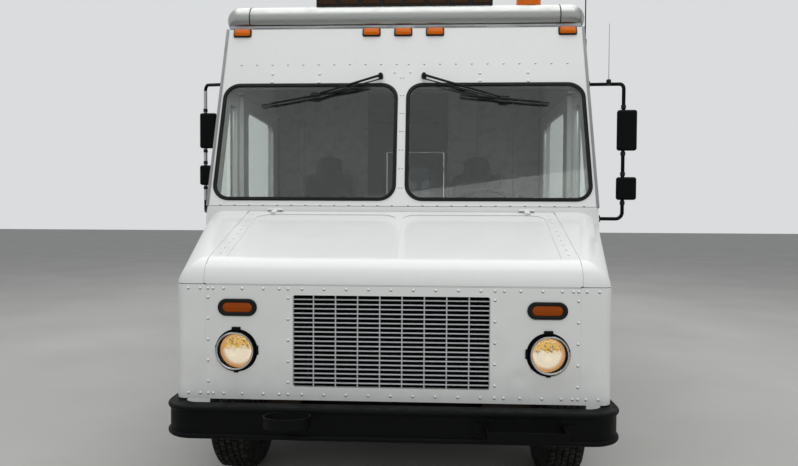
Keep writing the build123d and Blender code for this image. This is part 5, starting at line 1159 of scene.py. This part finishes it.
# %% [markdown]
# ## Sides, rear and roof
# The walls behind the cab are sheets riveted to posts at every joint, with cover strips over the joints
# and half-round rails above the wheels. The rows keep clear of doors, hatch, windows and wheel arches,
# which a small test looks up, so one loop fills each wall.

# %% Rivets and strips on the two side walls
OPENINGS = ((1.43, 2.45, 0.42, 2.38), (0.90, 1.46, 1.59, 2.33))
HATCH_HOLE = (3.46, 5.64, 1.63, 2.62)
SHELF_HOLE = (3.46, 5.64, 1.33, 1.72)
REAR_AXLE_Y = NOSE_Y + 4.860
STRIP_W = 0.036
BETWEEN_RAILS = 0.96 - 0.72
STRIP_FORM = ((0, 0), (0, 0.0016), (0.001, 0.0024))


def wall_is_clear(side, x, z):
    """True where a side wall is plain sheet; x is the distance behind the nose."""
    holes = OPENINGS + ((HATCH_HOLE, SHELF_HOLE) if side < 0 else ())
    for low_s, high_s, low_z, high_z in holes:
        if low_s < x < high_s and low_z < z < high_z:
            return False
    front_arch = (x - 0.870) ** 2 + (z - AXLE_Z) ** 2 > 0.525**2
    rear_arch = (x - 4.860) ** 2 + (z - AXLE_Z) ** 2 > 0.500**2
    rake = x > 0.930 + 0.10 + max(0.0, z - COWL_Z) * tan(RAKE)
    rails = all(abs(z - level) > 0.036 for level in (0.640, 1.000))
    return front_arch and rear_arch and rake and rails


strips = bmesh.new()
for side in (-1, 1):
    wall = face_matrix((side * HALF, NOSE_Y, 0), (0, side, 0), (0, 0, 1))
    walls = rivet_meshes()

    def clear_here(x, z):
        """True where this side's wall is plain sheet."""
        return wall_is_clear(side, side * x, z)

    for z in (2.775, 1.340, 1.275, 0.450):
        rivet_row(walls, wall, (side * 1.02, z), (side * 6.20, z), 0.085, clear_here)
    for s in (1.440, 2.448, 3.446, 3.496, 5.604, 5.654, 6.220):
        rivet_row(walls, wall, (side * s, 0.47), (side * s, 2.74), 0.085, clear_here)
    for z in (0.640, 1.000):
        rail = wall @ Matrix.Translation((0, 0, 0.010))
        for low, high in ((2.47, 4.26 if z < 0.9 else 6.23), (5.46, 6.23)):
            rivet_row(walls, rail, (side * low, z), (side * high, z), 0.12)
    set_rivets("left_wall" if side > 0 else "right_wall", walls)
    for s in (3.471, 5.629):
        pad(strips, wall, (STRIP_W, BETWEEN_RAILS), 0.004, STRIP_FORM, (side * s, 0.84))
        top = 2.70 if side > 0 else 1.20
        middle = (1.04 + top) / 2
        pad(strips, wall, (STRIP_W, top - 1.04), 0.004, STRIP_FORM, (side * s, middle))
    lip = [(-0.012, 0), (-0.012, 0.004), (-0.008, 0.006), (0.006, 0.006), (0.010, 0.002), (0.010, 0)]
    for centre_s, radius, first, last in ((4.860, 0.492, 3, 177), (0.870, 0.512, 103, 177)):
        path = []
        for step in range(41):
            angle = radians(first + (last - first) * step / 40)
            along, up = side * (centre_s - radius * cos(angle)), AXLE_Z + radius * sin(angle)
            path.append(wall @ Vector((along, up, 0)))
        sweep(strips, path, lip, Vector((side, 0, 0)))
piece("cover_strips_and_arch_lips", strips, enamel)
print("Strips and lips:", triangles["cover_strips_and_arch_lips"], "triangles")

# %% Rear wall, roof seams and fan bolts
REAR = face_matrix((0, REAR_Y, 0), (-1, 0, 0), (0, 0, 1))
rear = rivet_meshes()
for side in (-1, 1):
    rivet_row(rear, REAR, (side * 1.190, 0.74), (side * 1.190, 2.70), 0.085)
    rivet_row(rear, REAR, (side * 0.520, 0.74), (side * 0.520, 2.62), 0.085)
    rivet_row(rear, REAR, (side * 0.04, 2.680), (side * 1.150, 2.680), 0.085)
    rivet_row(rear, REAR, (side * 0.58, 0.730), (side * 1.150, 0.730), 0.085)
set_rivets("rear_wall", rear)

ROOF = face_matrix((0, 0, ROOF_TOP), (1, 0, 0), (0, 1, 0))
roof_rivets = rivet_meshes()
laps = bmesh.new()
for y in (-0.40, 0.70, 2.20):
    pad(laps, ROOF, (2.10, 0.050), 0.006, ((0, 0), (0, 0.002), (0.002, 0.003)), (0, y))
    for shift in (-0.040, 0.040):
        rivet_row(roof_rivets, ROOF, (-1.05, y + shift), (1.05, y + shift), 0.10)
for side in (-1, 1):
    rivet_row(roof_rivets, ROOF, (side * 1.095, -1.42), (side * 1.095, 3.06), 0.10)
piece("roof_lap_strips", laps, enamel)
set_rivets("roof", roof_rivets)
fan_bolts = bmesh.new()
for x in (0.262, 0.50, 0.738):
    for y in (1.264, 1.502, 1.740):
        spot = landing("roof_fan", (x, y, 4), (0, 0, -1))
        if spot is not None and spot.translation.z < ROOF_TOP + 0.10:
            lathe(fan_bolts, spot, ((0.007, 0), (0.007, 0.004), (0.004, 0.006)), 6)
piece("fan_flange_bolts", fan_bolts, stainless)
print("Fan bolts:", triangles["fan_flange_bolts"], "triangles")

# %% [markdown]
# ## Window gaskets, door and hatch trim
# Every pane sits in the same kind of rubber as the windscreens. The sliding doors have only six
# millimetres to the wall pocket, so their glazing channel, pull plate and kick plate lie nearly flush.
# The hatch gets a frame and latches, and the rear door a pane gasket and a pressing.

# %% Gaskets for the quarter windows
side_gaskets = bmesh.new()
thin = [(-0.014, 0.0), (-0.014, 0.0045), (-0.008, 0.0065), (0.008, 0.0065), (0.014, 0.0045), (0.014, 0.0)]
for side in (-1, 1):
    low, high = 1.640, 2.285
    front_low = 0.930 + (low - COWL_Z) * tan(RAKE) + 0.117
    front_high = 0.930 + (high - COWL_Z) * tan(RAKE) + 0.117
    corner_points = [(front_low, low), (1.415, low), (1.415, high), (front_high, high)]
    path = []
    for i, (s, z) in enumerate(corner_points):
        before = Vector(corner_points[i - 1]) - Vector((s, z))
        after = Vector(corner_points[(i + 1) % 4]) - Vector((s, z))
        for step in range(5):
            t = step / 4
            back_along = before.normalized() * 0.03 * (1 - t) ** 2
            near = Vector((s, z)) + back_along + after.normalized() * 0.03 * t**2
            path.append(Vector((side * HALF, NOSE_Y + near.x, near.y)))
    sweep(side_gaskets, path, thin, Vector((side, 0, 0)), closed=True)
piece("quarter_window_gaskets", side_gaskets, gasket_rubber)
print("Quarter window gaskets:", triangles["quarter_window_gaskets"], "triangles")

# %% Door channels and plates, rear pane, pressing and lamp grommets

flush = [(-0.014, 0.0), (-0.014, 0.0006), (0.014, 0.0006), (0.014, 0.0)]
for side, word in ((1, "left"), (-1, "right")):
    channel = bmesh.new()
    skin = face_matrix((side * 1.169, 0, 0), (0, side, 0), (0, 0, 1))
    outline = rounded(0.716 + 0.028, 0.785 + 0.028, 0.055, (side * (NOSE_Y + 1.926), 1.8925), 6)
    sweep(channel, [skin @ Vector((x, z, 0)) for x, z in outline], flush, Vector((side, 0, 0)), closed=True)
    piece(f"glazing_channel_{word}", channel, gasket_rubber, f"door_{word}")
    plates = bmesh.new()
    flat = ((0, 0), (0, 0.0005), (0.0005, 0.0008))
    pad(plates, skin, (0.070, 0.150), 0.012, flat, (side * (NOSE_Y + 1.540), 1.26))
    pad(plates, skin, (0.860, 0.200), 0.010, flat, (side * (NOSE_Y + 1.940), 0.62))
    piece(f"pull_and_kick_plates_{word}", plates, stainless, f"door_{word}")

rear_seal = bmesh.new()
outline = rounded(0.420, 0.480, 0.050, (0, 2.05), 6)
sweep(rear_seal, [REAR @ Vector((x, z, 0)) for x, z in outline], thin, Vector((0, 1, 0)), closed=True)
piece("rear_pane_gasket", rear_seal, gasket_rubber, "rear_door")
rear_trim = bmesh.new()
pad(rear_trim, REAR, (0.640, 0.560), 0.030, ((0, 0), (0.004, 0.003), (0.010, 0.0036)), (0, 1.20))
piece("rear_door_pressing", rear_trim, enamel, "rear_door")
lamp_rims = bmesh.new()
lamp_lip = ((0.0552, 0), (0.0552, 0.018), (0.062, 0.012), (0.066, 0))
for side in (-1, 1):
    for z in (0.900, 1.080, 1.260):
        rim_at = REAR @ Matrix.Translation((side * 1.090, z, 0))
        lathe(lamp_rims, rim_at, lamp_lip, 32, joined=True)
piece("rear_lamp_grommets", lamp_rims, gasket_rubber)
print("Rear lamp grommets:", triangles["rear_lamp_grommets"], "triangles")

# %% Hatch frame and latches, shelf hem, rear step grips
RIGHT = face_matrix((-HALF, 0, 0), (0, -1, 0), (0, 0, 1))
frame_trim = bmesh.new()
for size, centre in (
    ((2.060, 0.030), (-1.452, 1.724)),
    ((2.060, 0.030), (-1.452, 2.480)),
    ((0.030, 0.786), (-0.424, 2.102)),
    ((0.030, 0.786), (-2.480, 2.102)),
):
    pad(frame_trim, RIGHT, size, 0.006, ((0, 0), (0, 0.002), (0.002, 0.003)), centre)
piece("hatch_frame", frame_trim, enamel, "hatch")
latches = bmesh.new()
for y in (0.80, 2.10):
    pad(latches, RIGHT, (0.120, 0.045), 0.010, ((0, 0), (0, 0.006), (0.002, 0.008)), (-y, 1.775))
    pad(latches, RIGHT, (0.070, 0.024), 0.006, ((0, 0.008), (0, 0.013), (0.002, 0.015)), (-y, 1.775))
piece("hatch_latches", latches, stainless, "hatch")
hatch_rivets = rivet_meshes()
for z in (1.750, 2.455):
    rivet_row(hatch_rivets, RIGHT, (-0.46, z), (-0.70, z), 0.08)
    rivet_row(hatch_rivets, RIGHT, (-0.90, z), (-2.00, z), 0.085)
    rivet_row(hatch_rivets, RIGHT, (-2.20, z), (-2.44, z), 0.08)
set_rivets("hatch", hatch_rivets, "hatch")
hem = bmesh.new()
bar(hem, (-1.2530, 0.404, 1.362), (-1.2508, 2.500, 1.384), 0.0006)
piece("shelf_hem", hem, stainless, "shelf")
grips = bmesh.new()
for step in range(36):
    x = -1.05 + step * 0.06
    bar(grips, (x - 0.010, REAR_Y + 0.030, 0.5395), (x + 0.010, REAR_Y + 0.200, 0.5430), 0.001)
piece("rear_step_grips", grips, stainless)
print("Hatch latches:", triangles["hatch_latches"], "triangles")

# %% [markdown]
# ## Tyres and wheel fastenings
# Commercial tyres have five rows of tread blocks over a carcass, shifted half a block from row to row so
# that they run quietly, and a plain bulged sidewall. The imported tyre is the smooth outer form. The
# carcass is lathed 10 mm lower across the tread and the blocks stand on it up to the same radius, so
# the size is kept. Front tyres are one mesh each and the rear pairs share one.

# %% Tyres with tread blocks
TYRE_R = 0.4075
FRONT_X, DUAL_OUT_X, DUAL_GAP = 0.937, 1.070, 0.254
WALL_SIDE = ((0.2600, 0.0927), (0.2780, 0.1050), (0.2840, 0.1085), (0.2900, 0.1080))
WALL_SIDE = WALL_SIDE + ((0.3220, 0.1130), (0.3400, 0.1126), (0.3570, 0.1107))
WALL_SIDE = WALL_SIDE + ((0.3750, 0.1065), (0.3870, 0.1028), (0.3965, 0.0950))
TREAD_FLOOR = TYRE_R - 0.010
ROWS = ((-0.072, 0.032), (-0.036, 0.027), (0.0, 0.027), (0.036, 0.027), (0.072, 0.032))
BLOCKS = 62


def treaded_tyre(bm, x, y):
    """One tyre about an axle's line, its sides the same both ways."""
    hub_at = Matrix.Translation((x, y, AXLE_Z)) @ Matrix.Rotation(pi / 2, 4, "Y")
    near = [(r, -h) for r, h in WALL_SIDE]
    far = list(reversed(WALL_SIDE))
    inside = [(0.2570, 0.0900), (0.3300, 0.1030), (0.3880, 0.0800), (0.3880, -0.0800), (0.3300, -0.1030)]
    profile = near + [(TREAD_FLOOR, -0.088), (TREAD_FLOOR, 0.088)] + far + inside + [(0.2570, -0.0900)]
    lathe(bm, hub_at, profile, 72, joined=True)
    for row, (middle, wide) in enumerate(ROWS):
        for block in range(BLOCKS):
            centre = 2 * pi * (block + 0.5 * (row % 2)) / BLOCKS
            half = pi / BLOCKS * 0.84
            slant = 0.010 * (1 if row % 2 else -1)
            rings = []
            for radius, shrink in ((TREAD_FLOOR - 0.002, 1.0), (TYRE_R - 0.0006, 0.94), (TYRE_R, 0.86)):
                ring = []
                for a, h in ((-1, -1), (1, -1), (1, 1), (-1, 1)):
                    angle = centre + a * half * shrink + h * slant
                    height = middle + h * wide / 2 * shrink
                    ring.append(hub_at @ Vector((radius * cos(angle), radius * sin(angle), height)))
                rings.append(ring)
            loft(bm, rings)


for side, word in ((1, "left"), (-1, "right")):
    tyre = bmesh.new()
    treaded_tyre(tyre, side * FRONT_X, AXLE_Y)
    tyre = piece(f"treaded_front_tyre_{word}", tyre, tyre_rubber, f"wheel_front_{word}", 30)
    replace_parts(tyre, f"front_tyre_{word}")
    tyre = bmesh.new()
    treaded_tyre(tyre, side * DUAL_OUT_X, REAR_AXLE_Y)
    treaded_tyre(tyre, side * (DUAL_OUT_X - DUAL_GAP), REAR_AXLE_Y)
    tyre = piece(f"treaded_rear_tyres_{word}", tyre, tyre_rubber, f"wheel_rear_{word}", 30)
    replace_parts(tyre, f"rear_tyres_{word}")
print("One front tyre:", triangles["treaded_front_tyre_left"], "triangles")

# %% Wheel nuts on their studs
NUT_RING = 0.108
for side, word in ((1, "left"), (-1, "right")):
    axles = (("front", AXLE_Y, FRONT_X + 0.127), ("rear", REAR_AXLE_Y, DUAL_OUT_X - 0.127 + 0.012))
    for axle, y, face in axles:
        nuts = bmesh.new()
        disc = face_matrix((side * face, y, AXLE_Z), (0, side, 0), (0, 0, 1))
        for step in range(8):
            angle = 2 * pi * (step + 0.5) / 8
            at = disc @ Matrix.Translation((NUT_RING * cos(angle), NUT_RING * sin(angle), 0))
            lathe(nuts, at, ((0.0165, 0), (0.0165, 0.002)), 16)
            lathe(nuts, at, ((0.0135, 0.002), (0.0135, 0.015), (0.0105, 0.018)), 6)
            lathe(nuts, at, ((0.0070, 0.018), (0.0070, 0.026), (0.0050, 0.028)), 10)
        piece(f"wheel_nuts_{axle}_{word}", nuts, stainless, f"wheel_{axle}_{word}")
print("Nuts on one wheel:", triangles["wheel_nuts_front_left"], "triangles")

# %% [markdown]
# ## Mirrors, whip and cab fittings
# The mirror glass faces back along the truck. The kerb-side tube wears a bright stainless sleeve, both
# tubes carry clamps, and a thin whip is clamped to the driver's arm. Inside, the bulkhead is stiffened
# with ribs, the dashboard has gauges and switches that face the seats, and the kitchen has its knobs and
# the fridge's grips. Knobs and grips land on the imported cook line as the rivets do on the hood.

# %% Mirror glass, sleeve, clamps and whip
mirror_glass, clamps, sleeve = bmesh.new(), bmesh.new(), bmesh.new()
MIRRORS = ((-1, 1.480, 2.137, 1.818, 2.42), (1, 1.010, 2.069, 1.708, 2.31))
for side, s, head_z, low_z, top_z in MIRRORS:
    y = NOSE_Y + s
    for z, size, deep in ((head_z, (0.104, 0.236), 0.020), (low_z, (0.100, 0.124), 0.025)):
        back = face_matrix((side * 1.405, y + deep, z), (-1, 0, 0), (0, 0, 1))
        pad(mirror_glass, back, size, 0.014, ((0, -0.001), (0, 0.001), (0.002, 0.0016)))
    pole = Matrix.Translation((side * 1.405 - 0.022, y, 0))
    for z in (head_z + 0.145, head_z - 0.145, low_z + 0.090, low_z - 0.090):
        clamp = ((0.0122, z - 0.012), (0.0150, z - 0.010), (0.0150, z + 0.010), (0.0122, z + 0.012))
        lathe(clamps, pole, clamp, 20)
    if side < 0:
        bare = ((1.640, low_z - 0.075), (low_z + 0.075, head_z - 0.130), (head_z + 0.130, top_z))
        for low, high in bare:
            tube = ((0.0112, low), (0.0122, low), (0.0122, high), (0.0112, high))
            lathe(sleeve, pole, tube, 20, joined=True)
piece("mirror_glass", mirror_glass, chrome)
piece("mirror_pole_sleeve", sleeve, stainless)
whip_foot = Matrix.Translation((1.310, NOSE_Y + 1.078, 0))
lathe(clamps, whip_foot, ((0.012, 2.365), (0.015, 2.370), (0.015, 2.395), (0.006, 2.402)), 16)
lathe(clamps, whip_foot, ((0.0016, 2.40), (0.0014, 2.60), (0.0010, 2.75)), 8)
piece("mirror_clamps_and_whip", clamps, black_plastic)
print("Mirror clamps and whip:", triangles["mirror_clamps_and_whip"], "triangles")

# %% Gauges, bulkhead ribs, knobs and fridge grips
gauges = bmesh.new()
dash_face = face_matrix((0, -1.848, 0), (-1, 0, 0), (0, 0, 1))
for x, r in ((0.470, 0.034), (0.580, 0.042), (0.690, 0.034)):
    gauge_at = dash_face @ Matrix.Translation((-x, 1.500, 0))
    lathe(gauges, gauge_at, ((r, 0), (r, 0.006), (r - 0.004, 0.003)), 28)
for step in range(6):
    switch_at = (-0.20 - step * 0.03, 1.46)
    pad(gauges, dash_face, (0.022, 0.034), 0.003, ((0, 0), (0, 0.004), (0.002, 0.007)), switch_at)
piece("gauges_and_switches", gauges, black_plastic)
ribs = bmesh.new()
bulk_face = face_matrix((0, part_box("bulkhead")[0].y, 0), (1, 0, 0), (0, 0, 1))
for x in (-0.93, -0.62, 0.62, 0.93):
    pad(ribs, bulk_face, (0.050, 1.90), 0.008, ((0, 0), (0.004, 0.008), (0.008, 0.010)), (x, 1.86))
piece("bulkhead_ribs", ribs, panelling)
knobs = bmesh.new()
for s in (4.26, 4.42, 4.58, 4.74, 5.12, 5.30):
    spot = landing("cook_line", (-0.2, NOSE_Y + s, 1.725), (1, 0, 0))
    if spot is not None:
        lathe(knobs, spot, ((0.024, 0), (0.024, 0.006), (0.019, 0.010), (0.017, 0.026)), 20)
piece("cook_line_knobs", knobs, black_plastic)
grips = bmesh.new()
for z in (1.10, 2.05):
    door = landing("cook_line", (-0.2, NOSE_Y + 3.170, z), (1, 0, 0)).translation.x
    for foot in (z, z + 0.33):
        high = (door + 0.0005, NOSE_Y + 3.177, foot + 0.02)
        bar(grips, (door - 0.026, NOSE_Y + 3.163, foot), high, 0.002)
    bar(grips, (door - 0.031, NOSE_Y + 3.162, z), (door - 0.021, NOSE_Y + 3.178, z + 0.35), 0.003)
piece("fridge_grips", grips, stainless)
print("Fridge door found at x", round(door, 4))

# %% [markdown]
# ## Padded seats
# Each seat is a foam cushion and a domed back in sewn cloth. Foam pushes its cover out between the
# seams, which a rounded block never shows. A closed shell a little too small is remeshed finely, blown
# up by cloth simulation with no gravity, held to a limit, and then drawn in along its seams. The
# underside is kept flat on the seat base. Both seats are alike, so one is blown up and set twice.

# %% Blowing up a seat and setting it twice
SEAT_X = (-0.650, 0.580)
SEAT_Z = 1.220
CUSHION_MID_Y = NOSE_Y + 1.940
BACK_Y = (NOSE_Y + 2.180, NOSE_Y + 2.280)
PINCH = 0.020
SWELL_LIMIT = 0.024


def closed_slab(outline, low, high, upright):
    """A closed mesh between two parallel outlines; upright ones run in X and Z."""
    bm = bmesh.new()
    rings = []
    for depth in (low, high):
        rings.append([Vector((a, depth, b)) if upright else Vector((a, b, depth)) for a, b in outline])
    loft(bm, rings)
    bmesh.ops.recalc_face_normals(bm, faces=bm.faces)
    return bm


def blown_up(bm, name):
    """Remesh a closed form, swell it as cloth and cap how far it moves; returns points and faces."""
    mesh = bpy.data.meshes.new(name)
    bm.to_mesh(mesh)
    bm.free()
    obj = bpy.data.objects.new(name, mesh)
    bpy.context.scene.collection.objects.link(obj)
    remesh = obj.modifiers.new("fine_grid", "REMESH")
    remesh.mode = "VOXEL"
    remesh.voxel_size = 0.010
    graph = bpy.context.evaluated_depsgraph_get()
    fine = bpy.data.meshes.new_from_object(obj.evaluated_get(graph))
    obj.modifiers.clear()
    obj.data = fine
    start = [vertex.co.copy() for vertex in fine.vertices]
    end = start
    cover = obj.modifiers.new("cover", "CLOTH")
    cover.settings.use_pressure = True
    cover.settings.uniform_pressure_force = 4.0
    cover.settings.effector_weights.gravity = 0.0
    for step in range(1, 21):
        bpy.context.scene.frame_set(step)
    graph = bpy.context.evaluated_depsgraph_get()
    end = [vertex.co.copy() for vertex in obj.evaluated_get(graph).data.vertices]
    bpy.context.scene.frame_set(1)
    points = []
    for before, after in zip(start, end):
        shift = after - before
        if shift.length > SWELL_LIMIT:
            shift = shift * (SWELL_LIMIT / shift.length)
        points.append(before + shift)
    faces = [tuple(face.vertices) for face in fine.polygons]
    bpy.data.objects.remove(obj)
    return points, faces


def drawn_in(points, centre, seams, depth, reach):
    """Points pulled towards a centre near each seam; a seam is an axis number and its place."""
    moved = []
    for point in points:
        pull = 0.0
        for axis, place in seams:
            apart = abs(point[axis] - place)
            if apart < reach:
                pull = max(pull, (1 - (apart / reach) ** 2) * depth)
        toward = (centre - point).normalized()
        moved.append(point + toward * pull)
    return moved


cushion_outline = rounded(0.500 - 2 * PINCH, 0.480 - 2 * PINCH, 0.050, (0.0, CUSHION_MID_Y), 5)
cushion = closed_slab(cushion_outline, SEAT_Z + 0.012, SEAT_Z + 0.120 - PINCH, False)
cushion_points, cushion_faces = blown_up(cushion, "cushion_cover")
middle = Vector((0, CUSHION_MID_Y, SEAT_Z + 0.060))
cushion_seams = ((0, -0.150), (0, 0.150), (2, SEAT_Z + 0.070))
cushion_points = drawn_in(cushion_points, middle, cushion_seams, 0.007, 0.012)

body_half, dome_half = 0.250 - PINCH, 0.145 - PINCH
back_outline = []
for cx, cz, start in (
    (body_half - 0.09, SEAT_Z + 0.700 - PINCH - 0.09, 0),
    (dome_half - 0.09, SEAT_Z + 0.850 - PINCH - 0.09, 0),
    (-dome_half + 0.09, SEAT_Z + 0.850 - PINCH - 0.09, 90),
    (-body_half + 0.09, SEAT_Z + 0.700 - PINCH - 0.09, 90),
    (-body_half + 0.09, SEAT_Z + PINCH + 0.09, 180),
    (body_half - 0.09, SEAT_Z + PINCH + 0.09, 270),
):
    for step in range(6):
        angle = radians(start + 18 * step)
        back_outline.append((cx + 0.09 * cos(angle), cz + 0.09 * sin(angle)))
back = closed_slab(back_outline, BACK_Y[0] + PINCH, BACK_Y[1] - PINCH, True)
back_points, back_faces = blown_up(back, "back_cover")
middle = Vector((0, sum(BACK_Y) / 2, SEAT_Z + 0.380))
back_seams = ((0, -0.150), (0, 0.150), (2, SEAT_Z + 0.560), (1, sum(BACK_Y) / 2))
back_points = drawn_in(back_points, middle, back_seams, 0.007, 0.012)

for x, word in zip(SEAT_X, ("right", "left")):
    seat = bmesh.new()
    for points, faces, low, high in (
        (cushion_points, cushion_faces, CUSHION_MID_Y - 0.240, CUSHION_MID_Y + 0.238),
        (back_points, back_faces, BACK_Y[0] + 0.001, BACK_Y[1]),
    ):
        verts = []
        for point in points:
            held_x = min(max(point.x, -0.249), 0.249)
            held = (x + held_x, min(max(point.y, low), high), max(point.z, SEAT_Z + 0.001))
            verts.append(seat.verts.new(held))
        for face in faces:
            seat.faces.new([verts[index] for index in face])
    seat = piece(f"padded_seat_{word}", seat, cloth, sharp=180)
    smooth = seat.modifiers.new("smooth_cover", "SUBSURF")
    smooth.levels = smooth.render_levels = 1
    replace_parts(seat, "seats")
print("One seat before smoothing:", triangles["padded_seat_left"], "triangles")

# %% [markdown]
# ## Floor, backdrop and soft light
# The truck stands on a plain pale floor under an overcast studio sky: one large panel above, a softer one
# ahead, and a world that is bright only to the camera, to mirrors and to glass. Lamps stay low enough
# that the white body never clips.

# %% Stage and light
def stage_floor():
    """Wide pale floor."""
    material, tree, shader, place = new_finish("pale_studio_floor", "#B9B8B4", 0.8)
    cloud = blotches(tree, place, 1500, 0.3, 0.7)
    tree.links.new(blend_colours(tree, cloud, "#BDBCB8", "#B3B2AE"), shader.inputs["Base Color"])
    mesh = bpy.data.meshes.new("studio_floor")
    reach = 60
    corners = [(-reach, -reach, 0), (reach, -reach, 0), (reach, reach, 0), (-reach, reach, 0)]
    mesh.from_pydata(corners, [], [(0, 1, 2, 3)])
    mesh.materials.append(material)
    obj = bpy.data.objects.new("studio_floor", mesh)
    bpy.context.scene.collection.objects.link(obj)


def soft_panel(name, at, aim, size, power):
    """A large area lamp that looks at a point."""
    data = bpy.data.lights.new(name, "AREA")
    data.shape = "RECTANGLE"
    data.size, data.size_y = size
    data.energy = power
    lamp = bpy.data.objects.new(name, data)
    lamp.location = at
    lamp.rotation_euler = (Vector(at) - Vector(aim)).to_track_quat("Z", "Y").to_euler()
    bpy.context.scene.collection.objects.link(lamp)
    return lamp


def studio_world(ambient, backdrop):
    """Even light, with a pale backdrop for the camera, mirrors and glass."""
    world = bpy.data.worlds.new("studio_world")
    world.use_nodes = True
    bpy.context.scene.world = world
    tree = world.node_tree
    tree.nodes.clear()
    path = add(tree, "ShaderNodeLightPath")
    sockets = {0: path.outputs["Is Camera Ray"], 1: path.outputs["Is Glossy Ray"]}
    seen = add(tree, "ShaderNodeMath", sockets, operation="MAXIMUM").outputs["Value"]
    sockets = {0: seen, 1: path.outputs["Is Transmission Ray"]}
    seen = add(tree, "ShaderNodeMath", sockets, operation="MAXIMUM").outputs["Value"]
    light = add(tree, "ShaderNodeBackground", {"Color": linear("#E6EAEE"), "Strength": ambient})
    shown = add(tree, "ShaderNodeBackground", {"Color": linear("#DADCDD"), "Strength": backdrop})
    sockets = {0: seen, 1: light.outputs[0], 2: shown.outputs[0]}
    mixed = add(tree, "ShaderNodeMixShader", sockets)
    add(tree, "ShaderNodeOutputWorld", {"Surface": mixed.outputs[0]})


stage_floor()
studio_world(0.42, 1.0)
soft_panel("sky_panel", (0, 0, 9), (0, 0, 0), (10, 12), 660)
front_panel = soft_panel("front_panel", (1.5, -9, 5), (0, -2, 1.4), (6, 4), 160)
front_panel.visible_glossy = False
bpy.context.scene.view_settings.view_transform = "Standard"
print("Stage and lamps are set")

# %% Count the added triangles
print("Triangles added:", sum(triangles.values()))
